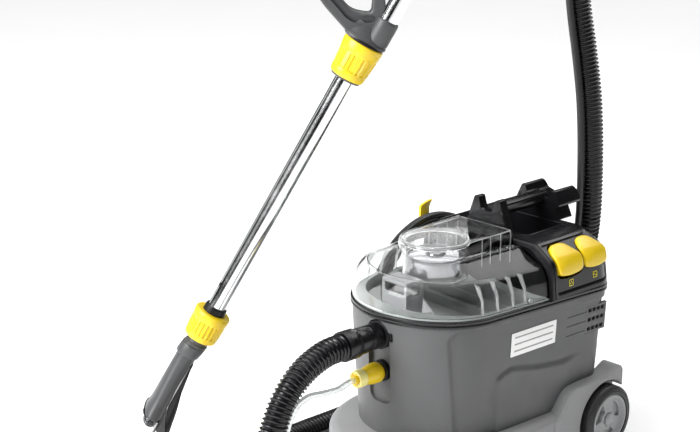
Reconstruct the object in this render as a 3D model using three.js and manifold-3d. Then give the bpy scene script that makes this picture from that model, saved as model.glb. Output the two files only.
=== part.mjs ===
// Spot extractor: a wheeled spray-extraction cleaner with its wand, hoses and mains lead.
// Millimetres, +Z up. -X is the front (hose port), +X the rear, -Y the side with the control panel.
import * as THREE from "three";
import { mergeVertices } from "three/addons/utils/BufferGeometryUtils.js";
import Module from "manifold-3d";

const wasm = await Module();
wasm.setup();

// ---------------------------------------------------------------- driving dimensions
const GAP = 0.3;                 // clearance between separate pieces that meet

// The object's origin is the middle of the footprint of machine and wand together.
const ORIGIN_X = -132.04;
const ORIGIN_Y = 124.49;

// Housing plan: an elliptical nose, then sides that widen slightly to the rear.
const NOSE_CENTRE_X = -65;
const NOSE_LENGTH = 125;
const NOSE_HALF_WIDTH = 134;
const REAR_X = 228;
const REAR_HALF_WIDTH = 147;
const REAR_CORNER = 48;
const SIDE_END_X = REAR_X - REAR_CORNER;
const SIDE_FLARE = (REAR_HALF_WIDTH - NOSE_HALF_WIDTH) / (SIDE_END_X - NOSE_CENTRE_X);
const SIDE_LEAN = 0.05;          // how fast the side wall leans out towards the top
const HOUSING_FLOOR_Z = 97.3;
const RIM_FRONT_Z = 300;         // height of the lid's parting line at the nose
const RIM_REAR_Z = 290;          // and at the rear end
const RIM_BAND_BELOW = 8;        // the black band reaches this far below that line
const RIM_BAND_ABOVE = 4;        // and this far above it
const LABEL_X = 32;
const LABEL_Z = 239;
const TANK_REAR_X = 58;          // rear face of the lift-off tank and its lid
const COVER_FRONT_X = 66;        // front face of the rear cover

// Chassis and running gear.
const CHASSIS_NOSE_X = -240;
const CHASSIS_REAR_X = 246;
const CHASSIS_HALF_WIDTH = 151;
const CHASSIS_BOTTOM_Z = 22;
const CHASSIS_TOP_Z = 97;
const FENDER_TOP_Z = 146;
const FENDER_INNER_Y = 136.5;
const WHEEL_X = 200;
const WHEEL_RADIUS = 58;
const WHEEL_INNER_Y = 136;
const WHEEL_OUTER_Y = 165;
const AXLE_RADIUS = 5;
const CASTER_X = -140;
const CASTER_Y = 75;
const CASTER_RADIUS = 20;
const CASTER_TRAIL = 14;
const CASTER_PLATE_Z = 60;

// Front connections, all on the middle plane.
const PORT_Z = 266;
const COUPLING_Z = 205;
const RECESS_X = -172;
const CUFF_END_X = -262;

// Mains lead, wound on two hooks on the far side.
const COIL_X = 118;
const COIL_Z = 216;
const COIL_OUTER = 146;
const COIL_INNER = 122;
const COIL_Y0 = 168;
const COIL_Y1 = 192;
const LEAD_RADIUS = 4;
const HOOK_Z = 331;
const HOOK_PEG_RADIUS = 6.7;
const LOWER_HOOK_Z = 111;
const GLAND_X = 168;
const GLAND_Z = 240;
const GLAND_Y = 152;

// Wand: stands on its floor head, leaning over towards the machine.
const WAND_FOOT = new THREE.Vector3(-441.6, 329.5, 0);
const WAND_HEADING = THREE.MathUtils.degToRad(43.5);
const WAND_TILT = THREE.MathUtils.degToRad(29);
const TUBE_RADIUS = 14.5;
const TUBE_WALL = 1.5;
const LOWER_NUT_AT = 281;
const UPPER_NUT_AT = 751;
const SPRAY_TUBE_X = 12;
const SPRAY_TUBE_Y = 14.5;
const SPRAY_TUBE_RADIUS = 4;
const UPPER_TUBE_X = 14;
const UPPER_TUBE_Y = -5;
const GRIP_AT = 1040;
const GRIP_END = 1150;

// Hoses.
const HOSE_RADIUS = 21;
const SHEATH_RADIUS = 6;
const SHEATH_OFFSET = 28;
const WATER_HOSE_RADIUS = 5;

// ---------------------------------------------------------------- materials
function plastic(color, roughness = 0.5) {
  return new THREE.MeshStandardMaterial({ color, roughness, metalness: 0 });
}
const GREY = plastic(0x6f7173);
const LIGHT_GREY = plastic(0x9a9c9e);
const BLACK = plastic(0x17181a, 0.4);
const YELLOW = plastic(0xf6d531, 0.35);
const RUBBER = plastic(0x1b1b1c, 0.85);
const WHITE = plastic(0xeeeeec);
const PALE = plastic(0xd8e2dc, 0.4);
const STEEL = new THREE.MeshStandardMaterial({ color: 0xc9ccd0, roughness: 0.2, metalness: 1 });
const CLEAR = new THREE.MeshStandardMaterial({
  color: 0xdfe8ea, roughness: 0.05, metalness: 0, transparent: true, opacity: 0.35,
});

// ---------------------------------------------------------------- solids
function signedVolume(positions, index) {
  const a = new THREE.Vector3();
  const b = new THREE.Vector3();
  const c = new THREE.Vector3();
  let volume = 0;
  for (let i = 0; i < index.count; i += 3) {
    a.fromBufferAttribute(positions, index.getX(i));
    b.fromBufferAttribute(positions, index.getX(i + 1));
    c.fromBufferAttribute(positions, index.getX(i + 2));
    volume += a.dot(b.cross(c)) / 6;
  }
  return volume;
}

// One closed body from a geometry, with its faces pointing out.
function solid(geometry) {
  const bare = geometry.clone();
  bare.deleteAttribute("normal");
  bare.deleteAttribute("uv");
  const merged = mergeVertices(bare, 1e-4);
  const triVerts = Uint32Array.from(merged.index.array);
  if (signedVolume(merged.attributes.position, merged.index) < 0) {
    for (let i = 0; i < triVerts.length; i += 3) {
      [triVerts[i], triVerts[i + 1]] = [triVerts[i + 1], triVerts[i]];
    }
  }
  const vertProperties = Float32Array.from(merged.attributes.position.array);
  return new wasm.Manifold(new wasm.Mesh({ numProp: 3, vertProperties, triVerts }));
}

function toGeometry(body) {
  const mesh = body.getMesh();
  const geometry = new THREE.BufferGeometry();
  geometry.setAttribute("position", new THREE.BufferAttribute(mesh.vertProperties.slice(), 3));
  geometry.setIndex(new THREE.BufferAttribute(mesh.triVerts.slice(), 1));
  geometry.computeVertexNormals();
  return geometry;
}

function joined(...bodies) {
  return bodies.reduce((sum, body) => sum.add(body));
}

function cut(body, ...tools) {
  return tools.reduce((rest, tool) => rest.subtract(tool), body);
}

function addPiece(parent, name, body, material) {
  const mesh = new THREE.Mesh(toGeometry(body), material);
  mesh.name = name;
  parent.add(mesh);
  return mesh;
}

// Two distances from the middle plane, in rising order of Y on the given side.
function span(side, near, far) {
  return side < 0 ? [-far, -near] : [near, far];
}

function box(low, high) {
  const size = high.map((value, axis) => value - low[axis]);
  const geometry = new THREE.BoxGeometry(...size);
  geometry.translate(...low.map((value, axis) => value + size[axis] / 2));
  return solid(geometry);
}

// A solid of revolution. Profile points are [radius, distance along the axis].
function turned(profile, axis, centre = [0, 0, 0], segments = 20) {
  const points = profile.map(([radius, along]) => new THREE.Vector2(radius, along));
  const geometry = new THREE.LatheGeometry(points, segments);
  if (axis === "x") geometry.rotateZ(-Math.PI / 2);
  if (axis === "z") geometry.rotateX(Math.PI / 2);
  geometry.translate(...centre);
  return solid(geometry);
}

function rod(radius, from, to, axis, centre = [0, 0, 0], segments = 16) {
  return turned([[0, from], [radius, from], [radius, to], [0, to]], axis, centre, segments);
}

function pipe(outer, inner, from, to, axis, centre = [0, 0, 0], segments = 20) {
  const profile = [[inner, from], [outer, from], [outer, to], [inner, to], [inner, from]];
  return turned(profile, axis, centre, segments);
}

// An outline in the X-Z plane given thickness along Y.
function slabXZ(points, y0, y1) {
  const shape = new THREE.Shape(points.map(([x, z]) => new THREE.Vector2(x, z)));
  const geometry = new THREE.ExtrudeGeometry(shape, { depth: y1 - y0, bevelEnabled: false });
  geometry.rotateX(Math.PI / 2);
  geometry.translate(0, y1, 0);
  return solid(geometry);
}

// An outline in the Y-Z plane given thickness along X.
function slabYZ(points, x0, x1) {
  const shape = new THREE.Shape(points.map(([y, z]) => new THREE.Vector2(y, z)));
  const geometry = new THREE.ExtrudeGeometry(shape, { depth: x1 - x0, bevelEnabled: false });
  geometry.rotateX(Math.PI / 2);
  geometry.rotateZ(Math.PI / 2);
  geometry.translate(x0, 0, 0);
  return solid(geometry);
}

// A body through stacked closed rings with the same number of points.
function loft(rings) {
  const count = rings[0].length;
  const positions = rings.flat().flatMap((point) => [point.x, point.y, point.z]);
  const index = [];
  for (let r = 0; r + 1 < rings.length; r += 1) {
    for (let i = 0; i < count; i += 1) {
      const j = (i + 1) % count;
      const low = r * count;
      const high = low + count;
      index.push(low + i, low + j, high + j, low + i, high + j, high + i);
    }
  }
  const cap = THREE.ShapeUtils.triangulateShape(rings[0].map((p) => new THREE.Vector2(p.x, p.y)), []);
  const top = (rings.length - 1) * count;
  for (const [a, b, c] of cap) {
    index.push(c, b, a, top + a, top + b, top + c);
  }
  const geometry = new THREE.BufferGeometry();
  geometry.setAttribute("position", new THREE.Float32BufferAttribute(positions, 3));
  geometry.setIndex(index);
  return solid(geometry);
}

// A tube of round section through hand-placed points.
function tubeThrough(points, radius, sides, steps) {
  const curve = new THREE.CatmullRomCurve3(points, false, "centripetal");
  const section = new THREE.Shape();
  for (let i = 0; i < sides; i += 1) {
    const angle = (i / sides) * 2 * Math.PI;
    const at = [radius * Math.cos(angle), radius * Math.sin(angle)];
    if (i === 0) section.moveTo(...at);
    else section.lineTo(...at);
  }
  section.closePath();
  return solid(new THREE.ExtrudeGeometry(section, { extrudePath: curve, steps, bevelEnabled: false }));
}

// ---------------------------------------------------------------- plan outlines
function rimHeight(x) {
  const noseX = NOSE_CENTRE_X - NOSE_LENGTH;
  return RIM_FRONT_Z + ((RIM_REAR_Z - RIM_FRONT_Z) * (x - noseX)) / (REAR_X - noseX);
}

function halfWidthAt(x) {
  return NOSE_HALF_WIDTH + SIDE_FLARE * Math.max(0, x - NOSE_CENTRE_X);
}

// Half ellipse round the nose, from the far side through the nose to the near side.
function noseArc(centreX, length, halfWidth, steps) {
  const points = [];
  for (let i = 0; i <= steps; i += 1) {
    const angle = (i / steps) * Math.PI;
    points.push([centreX - length * Math.sin(angle), halfWidth * Math.cos(angle)]);
  }
  return points;
}

// Whole housing plan, set in by `inset` at the sides and by `noseInset` at the nose.
function housingPlan(inset, noseInset = inset) {
  const plan = noseArc(NOSE_CENTRE_X, NOSE_LENGTH - noseInset, NOSE_HALF_WIDTH - inset, 14);
  const corner = Math.max(6, REAR_CORNER - inset);
  const side = REAR_HALF_WIDTH - inset;
  for (const sign of [-1, 1]) {
    for (let i = 0; i <= 4; i += 1) {
      const angle = ((sign < 0 ? i : 4 - i) / 4) * (Math.PI / 2);
      const x = REAR_X - inset - corner + corner * Math.sin(angle);
      plan.push([x, sign * (side - corner + corner * Math.cos(angle))]);
    }
  }
  return plan;
}

// The front part of that plan, cut straight across at `rearX`.
function tankPlan(inset, rearX, noseInset = inset) {
  const plan = noseArc(NOSE_CENTRE_X, NOSE_LENGTH - noseInset, NOSE_HALF_WIDTH - inset, 14);
  const side = halfWidthAt(rearX) - inset;
  plan.push([rearX, -side], [rearX, side]);
  return plan;
}

function coverPlan(inset, rearInset = inset) {
  const side = REAR_HALF_WIDTH - 1 - inset;
  const corner = Math.max(12, REAR_CORNER - rearInset / 2);
  const plan = [[COVER_FRONT_X, side], [COVER_FRONT_X, -side]];
  for (const sign of [-1, 1]) {
    for (let i = 0; i <= 4; i += 1) {
      const angle = ((sign < 0 ? i : 4 - i) / 4) * (Math.PI / 2);
      const x = REAR_X - rearInset - corner + corner * Math.sin(angle);
      plan.push([x, sign * (side - corner + corner * Math.cos(angle))]);
    }
  }
  return plan;
}

function chassisPlan(inset) {
  const noseCentre = -70;
  const length = noseCentre - CHASSIS_NOSE_X;
  const plan = noseArc(noseCentre, length - inset, CHASSIS_HALF_WIDTH - inset, 14);
  const side = CHASSIS_HALF_WIDTH - inset;
  const rear = CHASSIS_REAR_X - inset;
  plan.push([rear - 12, -side], [rear, -side + 12], [rear, side - 12], [rear - 12, side]);
  return plan;
}

function flat(plan, z) {
  return plan.map(([x, y]) => new THREE.Vector3(x, y, z));
}

function followRim(plan, above) {
  return plan.map(([x, y]) => new THREE.Vector3(x, y, rimHeight(x) + above));
}

// ---------------------------------------------------------------- the scene
const group = new THREE.Group();
group.position.set(-ORIGIN_X, -ORIGIN_Y, 0);
const machine = new THREE.Group();
group.add(machine);

// ---------------------------------------------------------------- chassis and running gear
function makeChassis() {
  const shell = loft([
    flat(chassisPlan(0), CHASSIS_BOTTOM_Z),
    flat(chassisPlan(2), 91),
    flat(chassisPlan(16), CHASSIS_TOP_Z),
  ]);
  const fenderOutline = [
    [74, 90], [108, FENDER_TOP_Z - 13], [205, FENDER_TOP_Z - 13], [230, FENDER_TOP_Z],
    [CHASSIS_REAR_X, FENDER_TOP_Z - 10], [CHASSIS_REAR_X, CHASSIS_BOTTOM_Z], [74, CHASSIS_BOTTOM_Z],
  ];
  const hollow = loft([flat(chassisPlan(9), CHASSIS_BOTTOM_Z - 5), flat(chassisPlan(12), 70),
    flat(chassisPlan(30), CHASSIS_TOP_Z - 9)]);
  const wells = [];
  const fenders = [];
  const arches = [];
  for (const side of [-1, 1]) {
    const [fenderLow, fenderHigh] = span(side, FENDER_INNER_Y, CHASSIS_HALF_WIDTH + 1);
    fenders.push(slabXZ(fenderOutline, fenderLow, fenderHigh));
    const [wellLow, wellHigh] = span(side, WHEEL_INNER_Y - 12, 160);
    wells.push(box([122, wellLow, 0], [260, wellHigh, 100]));
    const [archLow, archHigh] = span(side, WHEEL_INNER_Y - 5, 180);
    arches.push(rod(WHEEL_RADIUS + 7, archLow, archHigh, "y", [WHEEL_X, 0, WHEEL_RADIUS], 28));
  }
  const axleHole = rod(AXLE_RADIUS + GAP, -140, 140, "y", [WHEEL_X, 0, WHEEL_RADIUS]);
  const stemHoles = [-1, 1].map((side) => {
    return rod(5 + GAP, 50, 93.3, "z", [CASTER_X, side * CASTER_Y, 0], 16);
  });
  const hookHole = rod(5 + GAP, FENDER_INNER_Y - 2, 160, "y", [COIL_X, 0, LOWER_HOOK_Z], 20);
  const walls = joined(shell, ...fenders);
  return cut(walls, cut(hollow, ...wells), ...arches, axleHole, ...stemHoles, hookHole);
}
addPiece(machine, "chassis", makeChassis(), GREY);

addPiece(machine, "axle", rod(AXLE_RADIUS, -159, 159, "y", [WHEEL_X, 0, WHEEL_RADIUS]), STEEL);

function makeTyre() {
  const r = WHEEL_RADIUS;
  const profile = [
    [44.3, WHEEL_INNER_Y], [r - 5, WHEEL_INNER_Y], [r, WHEEL_INNER_Y + 5], [r, WHEEL_OUTER_Y - 8],
    [r - 6, WHEEL_OUTER_Y - 1], [46, WHEEL_OUTER_Y], [44.3, WHEEL_OUTER_Y - 2], [44.3, WHEEL_INNER_Y],
  ];
  return turned(profile, "y", [0, 0, 0], 28);
}

function makeHub() {
  const bore = AXLE_RADIUS + GAP;
  const profile = [
    [bore, 138], [13, 138], [13, 148], [36, 148], [36, 137], [44, 137], [44, 163], [39, 164],
    [36, 157], [14, 160.5], [bore, 160.5], [bore, 138],
  ];
  const windows = [];
  for (let i = 0; i < 3; i += 1) {
    const angle = Math.PI / 2 + (i * 2 * Math.PI) / 3;
    const centre = [25 * Math.cos(angle), 0, 25 * Math.sin(angle)];
    windows.push(rod(8.5, 142, 170, "y", centre, 12));
  }
  return cut(turned(profile, "y", [0, 0, 0], 24), ...windows);
}

for (const [side, word] of [[-1, "near"], [1, "far"]]) {
  const wheel = new THREE.Group();
  wheel.position.set(WHEEL_X, 0, WHEEL_RADIUS);
  if (side < 0) wheel.rotation.z = Math.PI;
  machine.add(wheel);
  addPiece(wheel, `tyre_${word}`, makeTyre(), RUBBER);
  addPiece(wheel, `wheel_hub_${word}`, makeHub(), LIGHT_GREY);
  const cap = turned([[0, 160.8], [11, 160.8], [11, 163], [8, 164.6], [0, 165]], "y", [0, 0, 0], 16);
  addPiece(wheel, `hub_cap_${word}`, cap, LIGHT_GREY);
}

function makeCasterFork() {
  const stem = rod(5, CASTER_PLATE_Z - 6, 92, "z", [0, 0, 0], 16);
  const plate = box([-12, -15, CASTER_PLATE_Z - 8], [CASTER_TRAIL + 10, 15, CASTER_PLATE_Z]);
  const cheekOutline = [[-12, CASTER_PLATE_Z - 4], [CASTER_TRAIL - 7, 12], [CASTER_TRAIL + 7, 12],
    [CASTER_TRAIL + 10, CASTER_PLATE_Z - 4]];
  const cheeks = [slabXZ(cheekOutline, 10.5, 15), slabXZ(cheekOutline, -15, -10.5)];
  const pinHole = rod(3 + GAP, -20, 20, "y", [CASTER_TRAIL, 0, CASTER_RADIUS], 16);
  return cut(joined(stem, plate, ...cheeks), pinHole);
}

function makeCasterWheel() {
  const r = CASTER_RADIUS;
  const profile = [[0, -15], [3, -15], [3, -10], [r - 3, -9], [r, -6], [r, 6], [r - 3, 9], [3, 10],
    [3, 15], [0, 15]];
  return turned(profile, "y", [CASTER_TRAIL, 0, r], 20);
}

for (const [side, word] of [[-1, "near"], [1, "far"]]) {
  const caster = new THREE.Group();
  caster.position.set(CASTER_X, side * CASTER_Y, 0);
  machine.add(caster);
  addPiece(caster, `caster_fork_${word}`, makeCasterFork(), BLACK);
  addPiece(caster, `caster_wheel_${word}`, makeCasterWheel(), RUBBER);
}

// ---------------------------------------------------------------- housing

function makeHousing() {
  const outer = loft([
    flat(housingPlan(14), HOUSING_FLOOR_Z),
    flat(housingPlan(7), 210),
    followRim(housingPlan(3), -RIM_BAND_BELOW - GAP),
  ]);
  const cavity = loft([
    flat(housingPlan(19, 42), HOUSING_FLOOR_Z + 7),
    flat(housingPlan(12, 33), 210),
    followRim(housingPlan(8, 27), 20),
  ]);
  const bulkhead = box([60, -140, HOUSING_FLOOR_Z + 1], [64, 140, 282]).intersect(outer);
  const recess = joined(
    box([-240, -23, 172], [RECESS_X, 23, PORT_Z]),
    rod(23.3, -240, RECESS_X, "x", [0, 0, PORT_Z], 28),
    rod(23, -240, RECESS_X, "x", [0, 0, 176], 24),
  );
  const portHole = rod(22 + GAP, -200, -130, "x", [0, 0, PORT_Z], 28);
  const couplingHole = rod(12 + GAP, -200, -130, "x", [0, 0, COUPLING_Z], 24);
  const [ventLow, ventHigh] = span(-1, 120, 160);
  const vent = box([156, ventLow, 214], [206, ventHigh, 262]);
  const leadHole = rod(7 + GAP, 120, 160, "y", [GLAND_X, 0, GLAND_Z], 20);
  return cut(joined(cut(outer, cavity), bulkhead), recess, portHole, couplingHole, vent, leadHole);
}
addPiece(machine, "housing", makeHousing(), GREY);

function makeRimBand() {
  const outer = loft([followRim(housingPlan(0), -RIM_BAND_BELOW), followRim(housingPlan(0), RIM_BAND_ABOVE)]);
  const inner = loft([followRim(housingPlan(8, 27), -30), followRim(housingPlan(8, 27), 30)]);
  return cut(outer, inner);
}
addPiece(machine, "rim_band", makeRimBand(), RUBBER);

function makeVentGrille() {
  const [low, high] = span(-1, 134, 140);
  const slots = [];
  for (let row = 0; row < 3; row += 1) {
    for (let column = 0; column < 4; column += 1) {
      const x = 161 + column * 11;
      const z = 220 + row * 14;
      slots.push(box([x, low - 1, z], [x + 8, high + 1, z + 7]));
    }
  }
  return cut(box([156.4, low, 214.4], [205.6, high, 261.6]), ...slots);
}
addPiece(machine, "vent_grille", makeVentGrille(), GREY);

// ---------------------------------------------------------------- water tanks under the lid
function makeCleanTank() {
  const z0 = HOUSING_FLOOR_Z + 7.4;
  const outer = loft([flat(tankPlan(22, 55, 46), z0), flat(tankPlan(16, 55, 40), 205)]);
  const inner = loft([flat(tankPlan(25, 52, 49), z0 + 3), flat(tankPlan(19, 52, 43), 210)]);
  return cut(outer, inner);
}
addPiece(machine, "clean_water_tank", makeCleanTank(), PALE);

const filter = turned([[0, 109], [14, 109], [14, 132], [4, 136], [4, 160], [0, 160]], "z", [30, -70, 0], 20);
addPiece(machine, "intake_filter", filter, WHITE);

const TANK_LIP_LOW = RIM_BAND_ABOVE + GAP;
const TANK_LIP_HIGH = TANK_LIP_LOW + 3;

function makeDirtyTank() {
  const tub = loft([
    flat(tankPlan(24, TANK_REAR_X - 3, 44), 212),
    followRim(tankPlan(12, TANK_REAR_X - 1, 32), TANK_LIP_LOW + 1.5),
  ]);
  const lip = loft([
    followRim(tankPlan(3, TANK_REAR_X), TANK_LIP_LOW),
    followRim(tankPlan(3, TANK_REAR_X), TANK_LIP_HIGH),
  ]);
  const inside = loft([
    flat(tankPlan(27, TANK_REAR_X - 6, 47), 215),
    followRim(tankPlan(15, TANK_REAR_X - 4, 35), TANK_LIP_HIGH + 3),
  ]);
  const inletHole = rod(19, -190, -130, "x", [0, 0, PORT_Z], 28);
  return cut(joined(tub, lip), inside, inletHole);
}
addPiece(machine, "dirty_water_tank", makeDirtyTank(), PALE);

function makeInletDuct() {
  const outline = [[-144, 246], [-118, 246], [-112, 320], [-112, 346], [-150, 346], [-150, 290]];
  const insideOutline = [[-170, 254], [-124, 254], [-118, 314], [-90, 314], [-90, 332], [-116, 341],
    [-146, 341], [-146, 292], [-170, 288]];
  return cut(slabXZ(outline, -26, 26), slabXZ(insideOutline, -21, 21));
}
addPiece(machine, "inlet_duct", makeInletDuct(), LIGHT_GREY);

// ---------------------------------------------------------------- clear lid with its float chamber
const LID_LOW = TANK_LIP_HIGH + GAP;
const LID_STEPS = [[3, LID_LOW], [5, 30], [13, 55], [38, 75], [60, 83]];
const CHAMBER_X = -58;
const CHAMBER_TOP_Z = 397;

function lidBody(wall) {
  const rings = LID_STEPS.map(([inset, above]) => {
    const plan = tankPlan(inset + wall, TANK_REAR_X - wall);
    return followRim(plan, above - (above > 60 ? wall : 0));
  });
  if (wall > 0) rings.unshift(followRim(tankPlan(3 + wall, TANK_REAR_X - wall), LID_LOW - 5));
  const dome = loft(rings);
  const low = 330;
  const top = CHAMBER_TOP_Z - wall;
  const chamber = rod(58 - wall, low, top, "z", [CHAMBER_X, 0, 0], 32);
  const bridge = box([CHAMBER_X, -58 + wall, low], [TANK_REAR_X - wall, 58 - wall, top]);
  return joined(dome, chamber, bridge);
}
addPiece(machine, "tank_lid", cut(lidBody(0), lidBody(3)), CLEAR);

const chamberTube = pipe(52, 49.5, 336, CHAMBER_TOP_Z - 3 - GAP, "z", [CHAMBER_X, 0, 0], 28);
addPiece(machine, "float_chamber", chamberTube, CLEAR);
const floatProfile = [[0, 338], [46, 338], [48, 341], [48, 368], [44, 370], [12, 370], [12, 374], [0, 374]];
addPiece(machine, "float_cup", turned(floatProfile, "z", [CHAMBER_X, 0, 0], 28), STEEL);

// ---------------------------------------------------------------- rear cover, handle and switches
const PAD_OUTLINE = [[-145.5, 333], [-142, 355], [-114, 375.5], [-108, 368], [-129, 350], [-130, 333]];
const POCKET_OUTLINE = [[-170, 329], [-170, 392], [-125, 392], [-113.2, 376.3], [-102.2, 362.5],
  [-123, 344.5], [-124, 329]];
const POCKET_BACK = [[-140, 325], [-139, 380], [-93, 380], [-93, 362], [-116, 340], [-118, 325]];
const PADS = { suction_switch: [76, 134], spray_switch: [140, 196] };

function makeRearCover() {
  const low = RIM_BAND_ABOVE + GAP;
  const outer = loft([
    followRim(coverPlan(0), low),
    flat(coverPlan(3, 4), 330),
    flat(coverPlan(9, 9), 355),
    flat(coverPlan(45, 26), 381),
  ]);
  const inside = loft([
    followRim(coverPlan(5), low - 5),
    flat(coverPlan(8, 9), 329),
    flat(coverPlan(14, 14), 351),
    flat(coverPlan(50, 32), 376),
  ]).intersect(box([COVER_FRONT_X + 5, -200, 200], [300, 200, 400]));
  const recessWalls = box([84, -66, 336], [184, 66, 381]);
  const recess = box([88, -62, 340], [180, 62, 400]);
  const pocketBacks = Object.values(PADS).map(([x0, x1]) => {
    return slabYZ(POCKET_BACK, x0 - 5, x1 + 5).intersect(outer);
  });
  const pockets = Object.values(PADS).map(([x0, x1]) => slabYZ(POCKET_OUTLINE, x0 - 1, x1 + 1));
  const hookHole = rod(5 + GAP, 120, 170, "y", [COIL_X, 0, HOOK_Z], 20);
  const hookSeat = box([COIL_X - 14, 118, 316], [COIL_X + 14, 144, 346]).intersect(outer);
  const walls = joined(cut(outer, inside), recessWalls, hookSeat, ...pocketBacks);
  return cut(walls, recess, ...pockets, hookHole);
}
addPiece(machine, "rear_cover", makeRearCover(), BLACK);

for (const [name, [x0, x1]] of Object.entries(PADS)) {
  addPiece(machine, name, slabYZ(PAD_OUTLINE, x0, x1), YELLOW);
}

for (const [name, x] of [["switch_block_suction", 96], ["switch_block_spray", 158]]) {
  addPiece(machine, name, box([x, -112, 314], [x + 20, -94, 340]), BLACK);
}

// Handle bar on two feet, with a forked rest in front and a saddle behind for the wand.
function makeCarryHandle() {
  const frontFoot = slabYZ([[-24, 381.3], [24, 381.3], [14, 400], [14, 420], [-14, 420], [-14, 400]], 67, 86);
  const fork = slabYZ([[-14, 410], [0, 420], [14, 410], [26, 441], [19, 441], [4, 424], [-4, 424],
    [-19, 441], [-26, 441]], 60, 80);
  const bar = rod(12, 70, 200, "x", [0, 0, 412], 20);
  const rearFoot = slabYZ([[-46, 381.3], [46, 381.3], [34, 404], [30, 414], [-30, 414], [-34, 404]], 189, 226);
  const wings = [-1, 1].map((side) => {
    const points = [[side * 8, 400], [side * 34, 402], [side * 46, 412], [side * 32, 438], [side * 27, 436],
      [side * 30, 416], [side * 8, 412]];
    return slabYZ(side > 0 ? points : points.reverse(), 190, 248);
  });
  const bridge = box([190, -30, 398], [248, 30, 412]);
  return joined(frontFoot, fork, bar, rearFoot, bridge, ...wings);
}
addPiece(machine, "carry_handle", makeCarryHandle(), BLACK);

// ---------------------------------------------------------------- inside the rear of the housing
const turbineProfile = [[0, 150], [40, 150], [40, 205], [62, 210], [62, 262], [30, 266], [30, 272], [0, 272]];
addPiece(machine, "suction_turbine", turned(turbineProfile, "z", [145, 20, 0], 20), BLACK);
addPiece(machine, "turbine_gasket", pipe(40, 24, 272.3, 277, "z", [145, 20, 0], 24), RUBBER);
const pump = joined(box([80, -104, 110], [150, -64, 150]), rod(16, 150, 190, "x", [0, -84, 130], 20));
addPiece(machine, "spray_pump", pump, BLACK);

// ---------------------------------------------------------------- front connections
const portProfile = [[18, -186], [22.9, -186], [22.9, RECESS_X - GAP], [22, RECESS_X - GAP], [22, -157.5],
  [18, -157.5], [18, -186]];
addPiece(machine, "suction_port", turned(portProfile, "x", [0, 0, PORT_Z], 24), BLACK);

const cuffProfile = [[14, -160], [17.5, -160], [17.5, -186.5], [19.5, -188], [19.5, -234], [23.5, -237],
  [23.5, CUFF_END_X], [14, CUFF_END_X], [14, -160]];
addPiece(machine, "suction_cuff", turned(cuffProfile, "x", [0, 0, PORT_Z], 24), BLACK);

const socketProfile = [[6.5, -182], [15, -182], [15, RECESS_X - GAP], [12, RECESS_X - GAP], [12, -153],
  [6.5, -153], [6.5, -182]];
addPiece(machine, "coupling_socket", turned(socketProfile, "x", [0, 0, COUPLING_Z], 24), BLACK);

const sleeveProfile = [[6.3, -182.4], [16.5, -182.4], [16.5, -190], [14, -192], [14, -206], [16.5, -208],
  [16.5, -220], [10, -226], [9, -240], [6.3, -240], [6.3, -182.4]];
addPiece(machine, "coupling_sleeve", turned(sleeveProfile, "x", [0, 0, COUPLING_Z], 24), YELLOW);

// ---------------------------------------------------------------- label
// It lies flat on the side wall, which widens to the rear and leans out towards the top.
const label = addPiece(machine, "label_plate", box([-52, -1.2, -20.5], [52, 0, 20.5]), WHITE);
label.position.set(LABEL_X, -halfWidthAt(LABEL_X) + 4.6, LABEL_Z);
label.rotation.set(SIDE_LEAN, 0, -SIDE_FLARE);

// ---------------------------------------------------------------- mains lead on its hooks
function makeCableHook() {
  const stub = rod(5, 126, 147.6, "y", [COIL_X, 0, HOOK_Z], 20);
  const peg = rod(HOOK_PEG_RADIUS, 147, COIL_Y1 + 4, "y", [COIL_X, 0, HOOK_Z], 16);
  const lipOutline = [[COIL_X - 10, HOOK_Z - 8], [COIL_X + 10, HOOK_Z - 8], [COIL_X + 12, 372],
    [COIL_X + 20, 380], [COIL_X + 8, 378], [COIL_X - 10, 374]];
  return joined(stub, peg, slabXZ(lipOutline, COIL_Y1 + 1, COIL_Y1 + 6));
}
addPiece(machine, "cable_hook", makeCableHook(), YELLOW);

function makeLowerHook() {
  const stub = rod(5, FENDER_INNER_Y, 153, "y", [COIL_X, 0, LOWER_HOOK_Z], 20);
  const peg = rod(7, CHASSIS_HALF_WIDTH + 1 + GAP, COIL_Y1 + 4, "y", [COIL_X, 0, LOWER_HOOK_Z], 20);
  const lip = box([COIL_X - 9, COIL_Y1 + 1, 82], [COIL_X + 9, COIL_Y1 + 6, LOWER_HOOK_Z + 8]);
  return joined(stub, peg, lip);
}
addPiece(machine, "lower_cable_hook", makeLowerHook(), BLACK);

const coilProfile = [[COIL_INNER + GAP, COIL_Y0 + 4], [COIL_INNER + 5, COIL_Y0], [COIL_OUTER - 5, COIL_Y0],
  [COIL_OUTER, COIL_Y0 + 4], [COIL_OUTER, COIL_Y1 - 4], [COIL_OUTER - 5, COIL_Y1], [COIL_INNER + 5, COIL_Y1],
  [COIL_INNER + GAP, COIL_Y1 - 4], [COIL_INNER + GAP, COIL_Y0 + 4]];
addPiece(machine, "lead_coil", turned(coilProfile, "y", [COIL_X, 0, COIL_Z], 32), BLACK);

// The gland turns the lead down along the wall, inside the coil.
const RELIEF_END_Z = GLAND_Z - 46;

function makeCableGland() {
  const stub = rod(7, 131, 145, "y", [GLAND_X, 0, GLAND_Z], 20);
  const boss = rod(12, 143, 164, "y", [GLAND_X, 0, GLAND_Z], 16);
  const reliefProfile = [[0, RELIEF_END_Z], [5.5, RELIEF_END_Z], [8.5, GLAND_Z - 10], [0, GLAND_Z - 4]];
  return joined(stub, boss, turned(reliefProfile, "z", [GLAND_X, GLAND_Y, 0], 20));
}
addPiece(machine, "cable_gland", makeCableGland(), BLACK);

function route(points) {
  return points.map((point) => new THREE.Vector3(...point));
}

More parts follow.
